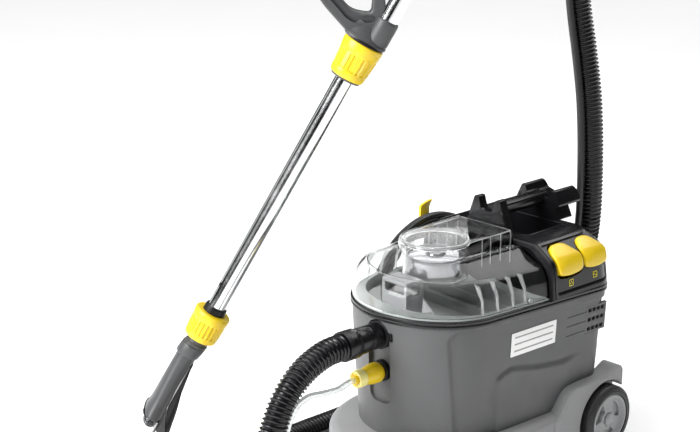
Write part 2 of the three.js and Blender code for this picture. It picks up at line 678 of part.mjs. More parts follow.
const LEAD_START_ROUTE = route([
  [168, 152, 193.7], [168, 152, 184], [168.5, 153.5, 170], [167, 160, 148], [159, 168, 127],
  [147, 175, 111], [140, 178, 105.5],
]);
addPiece(machine, "lead_start", tubeThrough(LEAD_START_ROUTE, LEAD_RADIUS, 8, 12), BLACK);

const PLUG_X = 19;
const PLUG_Y = 180;
const PLUG_Z = 190;
const LEAD_TAIL_ROUTE = route([
  [46, 180, 126], [34, 180, 141], [25, 180, 158], [20, 180, 175], [PLUG_X, PLUG_Y, PLUG_Z - GAP],
]);
addPiece(machine, "lead_tail", tubeThrough(LEAD_TAIL_ROUTE, LEAD_RADIUS, 8, 6), BLACK);

function makePlug() {
  const profile = [[0, 0], [5.5, 0], [8, 16], [16, 24], [17, 30], [17, 50], [0, 50]];
  const body = turned(profile, "z", [PLUG_X, PLUG_Y, PLUG_Z], 16);
  const pins = [-9.5, 9.5].map((y) => rod(2.4, 48, 69, "z", [PLUG_X, PLUG_Y + y, PLUG_Z], 12));
  return joined(body, ...pins);
}
addPiece(machine, "mains_plug", makePlug(), BLACK);

// ---------------------------------------------------------------- wand
const wand = new THREE.Group();
wand.position.copy(WAND_FOOT);
wand.quaternion.setFromRotationMatrix(new THREE.Matrix4().makeBasis(
  new THREE.Vector3(Math.cos(WAND_TILT) * Math.cos(WAND_HEADING),
    -Math.cos(WAND_TILT) * Math.sin(WAND_HEADING), -Math.sin(WAND_TILT)),
  new THREE.Vector3(Math.sin(WAND_HEADING), Math.cos(WAND_HEADING), 0),
  new THREE.Vector3(Math.sin(WAND_TILT) * Math.cos(WAND_HEADING),
    -Math.sin(WAND_TILT) * Math.sin(WAND_HEADING), Math.cos(WAND_TILT)),
));
group.add(wand);

// A rounded section across the wand, `s` along it; `skew` tips the ring down to the floor plane.
function wandRing(s, middleX, halfX, halfY, skew = 0, count = 16) {
  const ring = [];
  for (let i = 0; i < count; i += 1) {
    const angle = (i / count) * 2 * Math.PI;
    const round = 0.7;
    const x = middleX + halfX * Math.sign(Math.cos(angle)) * Math.abs(Math.cos(angle)) ** round;
    const y = halfY * Math.sign(Math.sin(angle)) * Math.abs(Math.sin(angle)) ** round;
    ring.push(new THREE.Vector3(x, y, s + skew * x * Math.tan(WAND_TILT)));
  }
  return ring;
}

function makeFloorHead() {
  const outer = [[0, 0, 10, 115, 1], [22, -2, 11, 112, 0.6], [118, -6, 13, 40, 0]];
  const inner = [[-8, 0, 6, 109, 1], [22, -2, 7, 106, 0.6], [122, -6, 9, 34, 0]];
  return cut(...[outer, inner].map((rings) => loft(rings.map((ring) => wandRing(...ring, 20)))));
}
addPiece(wand, "floor_head", makeFloorHead(), CLEAR);

function makeNeck() {
  const sleeve = loft([wandRing(119, -6, 16, 44), wandRing(150, -6, 15, 34), wandRing(225, -6, 15, 20),
    wandRing(262, -2, 14, 16)]);
  const socket = turned([[0, 255], [14, 255], [16, 275], [24, 283], [24, 326], [0, 326]], "z", [0, 0, 0], 20);
  const duct = loft([wandRing(110, -6, 11, 38), wandRing(150, -6, 10, 28), wandRing(225, -6, 10, 15),
    wandRing(268, 0, 10, 11)]);
  const bore = rod(TUBE_RADIUS + GAP, 290, 340, "z");
  const link = rod(10, 255, 300, "z");
  const sprayBore = rod(SPRAY_TUBE_RADIUS + GAP, 282, 340, "z", [SPRAY_TUBE_X, SPRAY_TUBE_Y, 0], 12);
  const tongue = slabXZ([[4, 150], [9.4, 137], [26, 102.8], [26.4, 90], [21, 88], [10, 104], [8.4, 119.2],
    [4, 121]], -12, 12);
  return cut(joined(sleeve, socket, tongue), duct, bore, link, sprayBore);
}
addPiece(wand, "nozzle_neck", makeNeck(), LIGHT_GREY);

const CARRIER_OUTLINE = [[10.6, 227], [12.6, 227], [13.4, 207], [17.2, 180], [25.8, 146], [32, 106], [39, 78],
  [40, 66], [26, 64], [27, 90], [26.6, 103.4], [10.6, 138]];
function makeSprayCarrier() {
  const body = slabXZ(CARRIER_OUTLINE, -10, 10);
  const tipBore = rod(5 + GAP, 50, 78, "z", [33, 0, 0], 16);
  return cut(body, tipBore);
}
addPiece(wand, "spray_carrier", makeSprayCarrier(), BLACK);
addPiece(wand, "spray_tip", turned([[0, 52], [2, 52], [7, 60], [7, 63.7], [5, 63.7], [5, 76], [0, 76]], "z",
  [33, 0, 0], 16), YELLOW);

addPiece(wand, "lower_tube", pipe(TUBE_RADIUS, TUBE_RADIUS - TUBE_WALL, 291, 789, "z"), STEEL);
addPiece(wand, "lower_nut", pipe(29, 24.5, LOWER_NUT_AT + 4, LOWER_NUT_AT + 44, "z", [0, 0, 0], 24), YELLOW);
addPiece(wand, "upper_nut", pipe(32, 24.5, UPPER_NUT_AT, UPPER_NUT_AT + 58, "z", [0, 0, 0], 24), YELLOW);
addPiece(wand, "spray_tube", rod(SPRAY_TUBE_RADIUS, 283, 1036, "z", [SPRAY_TUBE_X, SPRAY_TUBE_Y, 0], 12), STEEL);

// The stirrup's upright loop, as (across, up) from its foot.
const STIRRUP_OUTLINE = [[-4, -20.5], [-45, 26], [-62, 62], [-68, 100], [-60, 135], [-38, 152], [30, 152],
  [49, 138], [53, 100], [52, 26], [54, 2], [30, -20]];
const STIRRUP_WINDOW = [[-12, 27], [0, 14], [16, 9], [31, 8], [33, 26], [34, 100], [28, 126], [14, 134],
  [-26, 134], [-42, 122], [-48, 98], [-40, 64]];

function makeStirrup() {
  const core = rod(24, UPPER_NUT_AT - 3, 812, "z", [0, 0, 0], 20);
  const base = loft([wandRing(809.5, -2, 36, 27), wandRing(840, -6, 40, 27), wandRing(856, -2, 36, 25)]);
  const loopShape = new THREE.Shape(STIRRUP_OUTLINE.map(([x, z]) => new THREE.Vector2(x, z)));
  loopShape.holes.push(new THREE.Path(STIRRUP_WINDOW.map(([x, z]) => new THREE.Vector2(x, z))));
  const loopGeometry = new THREE.ExtrudeGeometry(loopShape, { depth: 24, bevelEnabled: false });
  loopGeometry.rotateX(Math.PI / 2);
  loopGeometry.translate(0, 12, 0);
  loopGeometry.rotateY(-WAND_TILT);
  loopGeometry.translate(-38, 0, 832);
  const lowerBore = rod(TUBE_RADIUS + GAP, 700, 790, "z");
  const upperBore = rod(TUBE_RADIUS + GAP, 820, 900, "z", [UPPER_TUBE_X, UPPER_TUBE_Y, 0]);
  const link = rod(9, 780, 830, "z", [5, 0, 0]);
  const sprayBore = rod(SPRAY_TUBE_RADIUS + GAP, 700, 900, "z", [SPRAY_TUBE_X, SPRAY_TUBE_Y, 0], 12);
  const clearance = rod(TUBE_RADIUS + 1, 856, 1100, "z", [UPPER_TUBE_X, UPPER_TUBE_Y, 0]);
  return cut(joined(core, base, solid(loopGeometry)), lowerBore, upperBore, link, sprayBore, clearance);
}
addPiece(wand, "stirrup_handle", makeStirrup(), LIGHT_GREY);

const upperTube = pipe(TUBE_RADIUS, TUBE_RADIUS - TUBE_WALL, 821, 1052, "z", [UPPER_TUBE_X, UPPER_TUBE_Y, 0]);
addPiece(wand, "upper_tube", upperTube, STEEL);

function makeGrip() {
  const middle = UPPER_TUBE_X;
  const body = loft([wandRing(GRIP_AT, middle, 22, 26), wandRing(GRIP_AT + 12, middle, 26, 27),
    wandRing(GRIP_AT + 40, middle, 22, 22), wandRing(GRIP_AT + 95, middle, 20, 21),
    wandRing(GRIP_END, middle, 25, 25)]);
  const guardOutline = [[30, GRIP_AT + 2], [62, GRIP_AT + 8], [70, GRIP_AT + 20], [66, GRIP_AT + 92],
    [54, GRIP_AT + 104], [30, GRIP_AT + 106], [30, GRIP_AT + 96], [50, GRIP_AT + 92], [58, GRIP_AT + 84],
    [60, GRIP_AT + 26], [54, GRIP_AT + 18], [30, GRIP_AT + 14]];
  const guard = slabXZ(guardOutline, -9, 9);
  const bore = rod(TUBE_RADIUS + GAP, GRIP_AT - 10, GRIP_AT + 13, "z", [UPPER_TUBE_X, UPPER_TUBE_Y, 0]);
  const link = rod(11, GRIP_AT, GRIP_END + 10, "z", [middle, -2, 0]);
  const end = rod(19.8, GRIP_END - 12, GRIP_END + 10, "z", [middle, 0, 0]);
  const triggerSlot = box([20, -5.5, GRIP_AT + 22], [45, 5.5, GRIP_AT + 84]);
  return cut(joined(body, guard), bore, link, end, triggerSlot);
}
addPiece(wand, "trigger_grip", makeGrip(), GREY);

const triggerOutline = [[28, GRIP_AT + 24], [36, GRIP_AT + 23], [48, GRIP_AT + 40], [49, GRIP_AT + 66],
  [44, GRIP_AT + 80], [41, GRIP_AT + 64], [36, GRIP_AT + 40]];
addPiece(wand, "trigger", slabXZ(triggerOutline, -5, 5), YELLOW);

const endCuff = turned([[14, GRIP_END - 11.5], [19, GRIP_END - 11.5], [19, GRIP_END + 0.5], [23.5, GRIP_END + 2],
  [23.5, GRIP_END + 40], [14, GRIP_END + 40], [14, GRIP_END - 11.5]], "z", [UPPER_TUBE_X, 0, 0], 20);
addPiece(wand, "hose_cuff", endCuff, BLACK);

// ---------------------------------------------------------------- hoses
// The suction hose, from the cuff at the top of the wand, over and down behind the machine,
// along the floor on the far side and round the nose, up to the cuff in the suction port.
const HOSE_ROUTE = route([
  [-14.1, -76.1, 1034.3], [-7.2, -82.7, 1051.8], [1.6, -91, 1073.7], [36, -110, 1138],
  [90, -98, 1178], [150, -68, 1190],
  [208, -32, 1165], [252, 0, 1110], [280, 22, 1030], [296, 32, 930], [303, 30, 830], [307, 24, 730],
  [315, 12, 645], [320, 0, 560], [321, -8, 450], [321, -8, 345], [325, 8, 260], [332, 28, 170],
  [338, 54, 98], [333, 98, 46], [313, 153, 23], [268, 197, 21.5], [200, 209, 21.5], [120, 209, 21.5],
  [20, 209, 21.5], [-80, 209, 21.5], [-180, 209, 21.5], [-268, 195, 21.5], [-338, 158, 21.5],
  [-382, 104, 26], [-402, 52, 52], [-408, 16, 104], [-402, 2, 160], [-381, 0, 209], [-343, 0, 246],
  [-306, 0, 262], [-284, 0, PORT_Z], [-273, 0, PORT_Z], [CUFF_END_X - GAP, 0, PORT_Z],
]);
addPiece(machine, "suction_hose", tubeThrough(HOSE_ROUTE, HOSE_RADIUS, 8, 72), BLACK);

// The spray line's sheath follows it on the side that faces the machine.
function insideOf(point, tangent) {
  const centre = new THREE.Vector3(point.x * 0.3, 0, Math.min(point.z, 900));
  const towards = centre.sub(point);
  towards.addScaledVector(tangent, -towards.dot(tangent));
  return towards.normalize();
}

const SHEATH_END_SHARE = 0.925;  // share of the hose's length at which the sheath ends
const SHEATH_POINTS = 60;
const hoseCurve = new THREE.CatmullRomCurve3(HOSE_ROUTE, false, "centripetal");
const SHEATH_ROUTE = [];
for (let i = 0; i <= SHEATH_POINTS; i += 1) {
  const share = 0.002 + (SHEATH_END_SHARE - 0.002) * (i / SHEATH_POINTS);
  const point = hoseCurve.getPointAt(share);
  SHEATH_ROUTE.push(point.addScaledVector(insideOf(point, hoseCurve.getTangentAt(share)), SHEATH_OFFSET));
}
addPiece(machine, "spray_sheath", tubeThrough(SHEATH_ROUTE, SHEATH_RADIUS, 8, 72), BLACK);

// The clear water hose, from the coupling to the sheath.
const WATER_ROUTE = route([
  [-200, 0, COUPLING_Z], [-225, 0, COUPLING_Z], [-245, 0, COUPLING_Z], [-268, 0, 200], [-300, 0, 202],
  [-330, 0, 205], [-353, 0, 196], [-367, 0, 177], [-373.8, 0.4, 158.3], [-375, 3.2, 145.6],
]);
addPiece(machine, "water_hose", tubeThrough(WATER_ROUTE, WATER_HOSE_RADIUS, 8, 20), CLEAR);

export default group;
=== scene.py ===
# Spot extractor: the looks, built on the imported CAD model.
# Shapes are written in the machine's own millimetres: -X the front with the hose port, +X the rear,
# -Y the side with the switches, +Z up. place() turns them into the model's metres.
import math

import bmesh
import bpy
import numpy as np
from mathutils import Matrix, Vector


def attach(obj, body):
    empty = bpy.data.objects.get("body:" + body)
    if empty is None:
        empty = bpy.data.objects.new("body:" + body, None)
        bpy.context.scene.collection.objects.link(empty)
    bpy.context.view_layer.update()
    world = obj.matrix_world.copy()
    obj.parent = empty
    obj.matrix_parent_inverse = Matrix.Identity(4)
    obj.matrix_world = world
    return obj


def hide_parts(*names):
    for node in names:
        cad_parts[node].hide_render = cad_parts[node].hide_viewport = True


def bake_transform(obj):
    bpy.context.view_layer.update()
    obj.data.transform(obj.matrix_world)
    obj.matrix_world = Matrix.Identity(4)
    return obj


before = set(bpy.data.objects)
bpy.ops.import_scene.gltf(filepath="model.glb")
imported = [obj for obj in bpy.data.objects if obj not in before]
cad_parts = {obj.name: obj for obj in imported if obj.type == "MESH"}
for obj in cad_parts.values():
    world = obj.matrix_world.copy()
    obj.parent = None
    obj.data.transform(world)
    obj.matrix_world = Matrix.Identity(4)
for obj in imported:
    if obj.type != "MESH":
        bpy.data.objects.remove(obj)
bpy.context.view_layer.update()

MM = 0.001
SHIFT = (132.04, -124.49, 0.0)


def place(point):
    return Vector(((point[0] + SHIFT[0]) * MM, (point[1] + SHIFT[1]) * MM, (point[2] + SHIFT[2]) * MM))


# ------------------------------------------------------------------ camera and light
HEADING = math.radians(43.5)
PITCH = math.radians(16.5)
camera = bpy.data.objects.new("camera", bpy.data.cameras.new("camera"))
bpy.context.scene.collection.objects.link(camera)
camera.data.lens = 77.14
camera.data.sensor_width = 36.0
camera.data.clip_end = 60.0
camera.location = (-1.5707, -1.6617, 1.0963)
sight = Vector((math.sin(HEADING) * math.cos(PITCH), math.cos(HEADING) * math.cos(PITCH), -math.sin(PITCH)))
camera.rotation_euler = sight.to_track_quat("-Z", "Y").to_euler()
bpy.context.scene.camera = camera
bpy.context.scene.view_settings.view_transform = "Standard"


def softbox(name, at, towards, size, power):
    lamp = bpy.data.objects.new(name, bpy.data.lights.new(name, "AREA"))
    bpy.context.scene.collection.objects.link(lamp)
    lamp.data.shape = "RECTANGLE"
    lamp.data.size, lamp.data.size_y = size
    lamp.data.energy = power
    lamp.location = at
    lamp.rotation_euler = (Vector(towards) - Vector(at)).to_track_quat("-Z", "Y").to_euler()


softbox("left_softbox", (-2.6, 0.6, 1.9), (0.1, -0.1, 0.3), (1.6, 2.2), 150)
softbox("right_softbox", (0.9, -2.6, 1.8), (0.1, -0.1, 0.3), (1.4, 2.0), 1.5)
softbox("top_softbox", (0.3, 0.2, 3.2), (0.1, -0.1, 0.2), (2.6, 2.2), 36)
softbox("rear_softbox", (2.2, 1.8, 1.6), (0.1, -0.1, 0.3), (1.6, 1.6), 16)

# A white studio, with its low right-hand side in shade so that the switch side falls darker than the nose.
SHADE_TOWARDS = (0.25, -0.97, 0.0)
world = bpy.data.worlds.new("studio")
bpy.context.scene.world = world
world.use_nodes = True
sky = world.node_tree


def sky_node(kind, **settings):
    node = sky.nodes.new("ShaderNode" + kind)
    for key, value in settings.items():
        setattr(node, key, value)
    return node


def sky_ramp(source, *values):
    node = sky_node("MapRange", interpolation_type="SMOOTHSTEP")
    for socket, value in zip(("From Min", "From Max", "To Min", "To Max"), values):
        node.inputs[socket].default_value = value
    sky.links.new(source, node.inputs["Value"])
    return node.outputs["Result"]


direction = sky_node("TexCoord").outputs["Generated"]
facing_shade = sky_node("VectorMath", operation="DOT_PRODUCT")
facing_shade.inputs[1].default_value = SHADE_TOWARDS
sky.links.new(direction, facing_shade.inputs[0])
height = sky_node("SeparateXYZ")
sky.links.new(direction, height.inputs[0])
both = sky_node("Math", operation="MULTIPLY")
sky.links.new(sky_ramp(facing_shade.outputs["Value"], -0.1, 0.5, 0.0, 0.94), both.inputs[0])
sky.links.new(sky_ramp(height.outputs["Z"], 0.5, 0.9, 1.0, 0.0), both.inputs[1])
tint = sky_node("Mix", data_type="RGBA")
tint.inputs[6].default_value = (1.0, 1.0, 1.0, 1.0)
tint.inputs[7].default_value = (0.0, 0.0, 0.0, 1.0)
sky.links.new(both.outputs[0], tint.inputs[0])
sky.links.new(tint.outputs[2], sky.nodes["Background"].inputs["Color"])
sky.nodes["Background"].inputs["Strength"].default_value = 1.0


def flag(name, at, towards, size, glow=0.0):
    """A studio card that only shows in reflections: black, or bright where it glows."""
    width, height = size[0] / 2, size[1] / 2
    mesh = bpy.data.meshes.new(name)
    mesh.from_pydata([(-width, -height, 0), (width, -height, 0), (width, height, 0), (-width, height, 0)],
                     [], [(0, 1, 2, 3)])
    card = bpy.data.objects.new(name, mesh)
    bpy.context.scene.collection.objects.link(card)
    card.location = at
    card.rotation_euler = (Vector(towards) - Vector(at)).to_track_quat("-Z", "Y").to_euler()
    for ray in ("camera", "diffuse", "shadow", "transmission", "volume_scatter"):
        setattr(card, "visible_" + ray, False)
    look = bpy.data.materials.new(name)
    look.use_nodes = True
    sockets = look.node_tree.nodes["Principled BSDF"].inputs
    sockets["Base Color"].default_value = (0.0, 0.0, 0.0, 1.0)
    sockets["Specular IOR Level"].default_value = 0.0
    sockets["Emission Color"].default_value = (1.0, 1.0, 1.0, 1.0)
    sockets["Emission Strength"].default_value = glow
    mesh.materials.append(look)


flag("left_flag", (-2.35, -0.45, 1.3), (-0.3, 0.2, 1.0), (2.5, 2.3))
flag("far_left_flag", (-2.1, 1.7, 1.4), (-0.25, 0.2, 0.7), (2.7, 2.3))
flag("lid_kicker", (1.3, -0.3, 1.75), (0.1, -0.12, 0.35), (1.1, 0.8), glow=4.0)
flag("back_flag", (1.65, 1.6, 1.1), (0.07, -0.12, 0.4), (2.8, 1.5))
flag("rear_flag", (0.5, 2.9, 1.1), (-0.2, 0.3, 0.9), (2.2, 2.1))


# ------------------------------------------------------------------ materials
class Nodes:
    """A short way to write a node tree."""

    def __init__(self, name):
        self.material = bpy.data.materials.new(name)
        self.material.use_nodes = True
        self.tree = self.material.node_tree
        self.shader = self.tree.nodes["Principled BSDF"]
        self.place = self.add("ShaderNodeTexCoord").outputs["Object"]

    def add(self, kind, **settings):
        node = self.tree.nodes.new(kind)
        for key, value in settings.items():
            setattr(node, key, value)
        return node

    def link(self, source, target):
        self.tree.links.new(source, target)

    def noise(self, scale, detail=4.0, rough=0.55, place=None):
        node = self.add("ShaderNodeTexNoise")
        node.inputs["Scale"].default_value = scale
        node.inputs["Detail"].default_value = detail
        node.inputs["Roughness"].default_value = rough
        self.link(place or self.place, node.inputs["Vector"])
        return node.outputs["Fac"]

    def ramp(self, source, low, high, start=0.3, end=0.7):
        node = self.add("ShaderNodeMapRange")
        node.inputs["From Min"].default_value = start
        node.inputs["From Max"].default_value = end
        node.inputs["To Min"].default_value = low
        node.inputs["To Max"].default_value = high
        self.link(source, node.inputs["Value"])
        return node.outputs["Result"]

    def fill(self, socket, value):
        """Sets a number or a colour, or links what another node gives."""
        if isinstance(value, (int, float)):
            socket.default_value = value
        elif isinstance(value, (tuple, list)):
            socket.default_value = (*value, 1.0)
        else:
            self.link(value, socket)

    def mix(self, factor, first, second):
        node = self.add("ShaderNodeMix", data_type="RGBA")
        for socket, value in ((0, factor), (6, first), (7, second)):
            self.fill(node.inputs[socket], value)
        return node.outputs[2]

    def math(self, operation, first, second):
        node = self.add("ShaderNodeMath", operation=operation)
        self.fill(node.inputs[0], first)
        self.fill(node.inputs[1], second)
        return node.outputs[0]

    def bump(self, height, strength, distance, after=None):
        node = self.add("ShaderNodeBump")
        node.inputs["Strength"].default_value = strength
        node.inputs["Distance"].default_value = distance
        self.link(height, node.inputs["Height"])
        if after is not None:
            self.link(after, node.inputs["Normal"])
        return node.outputs["Normal"]

    def edges(self, low=0.52, high=0.62):
        node = self.add("ShaderNodeNewGeometry")
        return self.ramp(node.outputs["Pointiness"], 0.0, 1.0, low, high)


def shade(color, factor):
    return tuple(min(1.0, max(0.0, channel * factor)) for channel in color)


def moulded(name, color, rough=0.45, grain=1400.0, depth=0.12, spread=0.06, coat=0.0, specular=0.5,
            edge_wear_and_highlight=0.12,
            scatter=0.0):
    """Moulded plastic: a fine spark-eroded grain, slow flow marks, and edges made a little lighter, partly
    rubbed wear and partly a painted highlight.
    """
    n = Nodes(name)
    flow = n.noise(9.0, 3.0)
    speckle = n.noise(grain * 0.35, 2.0)
    tone = n.mix(n.ramp(flow, 0.0, 1.0), shade(color, 1.0 - spread), shade(color, 1.0 + spread))
    tone = n.mix(n.ramp(speckle, 0.0, 0.35, 0.35, 0.75), tone, shade(color, 0.86))
    # convex edges lighter: partly rubbed wear, partly a painted highlight
    tone = n.mix(n.math("MULTIPLY", n.edges(), edge_wear_and_highlight), tone, shade(color, 1.5))
    n.link(tone, n.shader.inputs["Base Color"])
    smudge = n.noise(22.0, 5.0)
    n.link(n.ramp(smudge, rough - 0.06, rough + 0.07), n.shader.inputs["Roughness"])
    fine = n.bump(n.noise(grain, 2.0), depth, 0.0004)
    n.link(n.bump(n.noise(30.0, 2.0), 0.05, 0.002, fine), n.shader.inputs["Normal"])
    n.shader.inputs["Specular IOR Level"].default_value = specular
    if coat:
        n.shader.inputs["Coat Weight"].default_value = coat
        n.shader.inputs["Coat Roughness"].default_value = 0.12
    if scatter:
        n.shader.inputs["Subsurface Weight"].default_value = scatter
        n.shader.inputs["Subsurface Scale"].default_value = 0.004
    return n.material


def glassy(name, color, rough=0.03, ior=1.46, milk=0.0, ripple=0.02):
    """Clear moulded plastic, with faint flow ripples and dust that dulls it in patches."""
    n = Nodes(name)
    dust = n.noise(16.0, 6.0)
    tone = n.mix(n.ramp(dust, 0.0, 1.0, 0.35, 0.75), color, shade(color, 0.96))
    n.link(tone, n.shader.inputs["Base Color"])
    n.link(n.ramp(n.noise(40.0, 4.0), rough, rough + 0.05), n.shader.inputs["Roughness"])
    n.link(n.bump(n.noise(14.0, 1.0), ripple, 0.004), n.shader.inputs["Normal"])
    n.shader.inputs["Transmission Weight"].default_value = 1.0 - milk
    n.shader.inputs["IOR"].default_value = ior
    return n.material


def plated(name, color, rough=0.09, brushed=0.0):
    """Bright metal with faint drawing lines along the tube and thin fingerprints."""
    n = Nodes(name)
    n.shader.inputs["Metallic"].default_value = 1.0
    stretch = n.add("ShaderNodeMapping")
    stretch.inputs["Scale"].default_value = (60.0, 60.0, 4.0)
    n.link(n.place, stretch.inputs["Vector"])
    lines = n.noise(18.0, 3.0, 0.6, stretch.outputs["Vector"])
    n.link(n.mix(n.ramp(lines, 0.0, 1.0), shade(color, 0.94), color), n.shader.inputs["Base Color"])
    prints = n.noise(28.0, 6.0)
    n.link(n.ramp(prints, rough - 0.03, rough + 0.06 + brushed), n.shader.inputs["Roughness"])
    n.link(n.bump(lines, 0.03 + brushed * 0.3, 0.0006), n.shader.inputs["Normal"])
    return n.material


def rubbery(name, color, rough=0.62, grain=900.0, spread=0.12):
    """Rubber: fine grain, a dusty bloom in patches, convex edges a little lighter, partly scuffing and partly
    a painted highlight, and a dull sheen.
    """
    n = Nodes(name)
    bloom = n.noise(14.0, 5.0)
    tone = n.mix(n.ramp(bloom, 0.0, 1.0), shade(color, 1.0 - spread), shade(color, 1.0 + spread))
    # convex edges lighter: partly scuffing, partly a painted highlight
    tone = n.mix(n.math("MULTIPLY", n.edges(0.5, 0.6), 0.18), tone, shade(color, 2.2))
    n.link(tone, n.shader.inputs["Base Color"])
    n.link(n.ramp(n.noise(40.0, 4.0), rough - 0.08, rough + 0.1), n.shader.inputs["Roughness"])
    n.link(n.bump(n.noise(grain, 3.0), 0.2, 0.0004), n.shader.inputs["Normal"])
    n.shader.inputs["Sheen Weight"].default_value = 0.03
    n.shader.inputs["Sheen Roughness"].default_value = 0.5
    return n.material


BODY_GREY = moulded("body_grey", (0.098, 0.099, 0.101), 0.46, 1500.0, 0.10, specular=0.4)
CHASSIS_GREY = moulded("chassis_grey", (0.25, 0.252, 0.256), 0.5, 1300.0, 0.14)
WAND_GREY = moulded("wand_grey", (0.055, 0.056, 0.058), 0.4, 1500.0, 0.08)
WHEEL_GREY = moulded("wheel_grey", (0.3, 0.305, 0.31), 0.4, 1500.0, 0.08)
GLOSS_BLACK = moulded("gloss_black", (0.006, 0.006, 0.007), 0.22, 1500.0, 0.05, 0.15, coat=0.1,
                      specular=0.32, edge_wear_and_highlight=0.02)
SATIN_BLACK = moulded("satin_black", (0.007, 0.007, 0.008), 0.34, 1400.0, 0.1, 0.15, specular=0.32,
                      edge_wear_and_highlight=0.03)
YELLOW = moulded("signal_yellow", (0.8, 0.56, 0.008), 0.34, 1500.0, 0.06, 0.03, coat=0.15, edge_wear_and_highlight=0.04,
                 scatter=0.05)
LABEL_WHITE = moulded("label_white", (0.9, 0.9, 0.89), 0.35, 2400.0, 0.03, 0.02, coat=0.3, edge_wear_and_highlight=0.0)
PALE_YELLOW = moulded("pale_yellow", (0.93, 0.83, 0.3), 0.3, 1500.0, 0.05, 0.03, coat=0.2, edge_wear_and_highlight=0.03,
                      scatter=0.2)
LABEL_GREY = moulded("label_grey", (0.3, 0.302, 0.306), 0.35, 2400.0, 0.03, 0.02, coat=0.3, edge_wear_and_highlight=0.0)
ICON_YELLOW = moulded("icon_yellow", (0.8, 0.68, 0.03), 0.4, 2400.0, 0.03, 0.03, edge_wear_and_highlight=0.0)
# Milky tank plastic greyed well below white: partly its tint, partly painted shade for the dark inside of the
# tub.
TANK_TINT_AND_SHADE = glassy("tank_white", (0.4, 0.44, 0.425), 0.3, 1.4, 0.72)
DUCT_GREY = moulded("duct_grey", (0.3, 0.305, 0.31), 0.4, 1500.0, 0.08)
CLEAR = glassy("clear_plastic", (0.985, 0.99, 0.99), 0.012, 1.3)
# Frosted clear plastic on the lid's ribs and edge beads: a painted highlight, white lines that stand in for
# the light caught along the clear lid's edges.
CLEAR_PAINTED_HIGHLIGHT = glassy("clear_painted_highlight", (0.97, 0.98, 0.98), 0.1, 1.5, 0.45)
CLEAR_HOSE = glassy("clear_hose", (0.93, 0.96, 0.955), 0.12, 1.38, 0.35)
CHROME = plated("chrome", (0.83, 0.84, 0.85), 0.14)
FLOAT_METAL = plated("float_metal", (0.28, 0.28, 0.29), 0.06)
STEEL = plated("steel", (0.55, 0.56, 0.57), 0.25, 0.15)
PUMP_METAL = plated("pump_metal", (0.4, 0.41, 0.42), 0.4, 0.2)
SEAL_RUBBER = rubbery("seal_rubber", (0.006, 0.006, 0.007), 0.3)
TYRE_RUBBER = rubbery("tyre_rubber", (0.012, 0.012, 0.013), 0.5)
LEAD_RUBBER = rubbery("lead_rubber", (0.006, 0.006, 0.007), 0.32, 1100.0)
HOSE_BLACK = moulded("hose_black", (0.005, 0.005, 0.006), 0.24, 1300.0, 0.06, 0.2, specular=0.42, edge_wear_and_highlight=0.06)
SHEATH_BLACK = rubbery("sheath_black", (0.013, 0.013, 0.014), 0.4, 1600.0)
MOTOR_BLACK = moulded("motor_black", (0.016, 0.016, 0.017), 0.5, 900.0, 0.2)


# ------------------------------------------------------------------ mesh tools
# A shape is (vertices, faces) in millimetres.
def merged(*shapes):
    vertices, faces = [], []
    for some_vertices, some_faces in shapes:
        start = len(vertices)
        vertices.extend(Vector(v) for v in some_vertices)
        faces.extend([tuple(start + i for i in face) for face in some_faces])
    return vertices, faces


AXES = {
    "x": lambda a, b, along: (along, a, b),
    "y": lambda a, b, along: (b, along, a),
    "z": lambda a, b, along: (a, b, along),
}


def lathe(profile, axis="z", centre=(0, 0, 0), sides=48, closed=False, wobble=None):
    """A shape turned about an axis. A profile point is (radius, distance along); wobble alters the radius."""
    vertices, rows = [], []
    for radius, along in profile:
        row = []
        for i in range(1 if radius < 1e-6 else sides):
            angle = 2 * math.pi * i / sides
            r = wobble(angle, radius, along) if wobble and radius > 1e-6 else radius
            point = AXES[axis](r * math.cos(angle), r * math.sin(angle), along)
            row.append(len(vertices))
            vertices.append(Vector(point) + Vector(centre))
        rows.append(row)
    faces = []
    pairs = list(zip(rows, rows[1:])) + ([(rows[-1], rows[0])] if closed else [])
    for low, high in pairs:
        for i in range(sides):
            j = (i + 1) % sides
            face = [low[i % len(low)], low[j % len(low)], high[j % len(high)], high[i % len(high)]]
            kept = [v for k, v in enumerate(face) if v not in face[:k]]
            if len(kept) > 2:
                faces.append(tuple(kept))
    return vertices, faces


def rod(radius, low, high, axis="z", centre=(0, 0, 0), sides=48):
    return lathe([(0, low), (radius, low), (radius, high), (0, high)], axis, centre, sides)


def facing(profile, side):
    """A lathe profile turned to the near (-1) or far (1) side."""
    return [(radius, side * along) for radius, along in profile]


def loft(rings, caps=True, closed=False):
    count = len(rings[0])
    vertices = [Vector(point) for ring in rings for point in ring]
    faces = []
    steps = len(rings) if closed else len(rings) - 1
    for r in range(steps):
        low, high = r * count, ((r + 1) % len(rings)) * count
        for i in range(count):
            j = (i + 1) % count
            faces.append((low + i, low + j, high + j, high + i))
    if caps and not closed:
        faces.append(tuple(range(count)))
        faces.append(tuple(range((len(rings) - 1) * count, len(rings) * count)))
    return vertices, faces


def on_plane(plane, a, b, across):
    return {"xz": (a, across, b), "yz": (across, a, b), "xy": (a, b, across)}[plane]


def prism(outline, low, high, plane="xz"):
    """An outline given thickness square to its plane."""
    return loft([[on_plane(plane, a, b, across) for a, b in outline] for across in (low, high)])


def rectangle(a0, b0, a1, b1):
    return [(a0, b0), (a1, b0), (a1, b1), (a0, b1)]


def block(low, high):
    return prism(rectangle(low[0], low[2], high[0], high[2]), low[1], high[1])


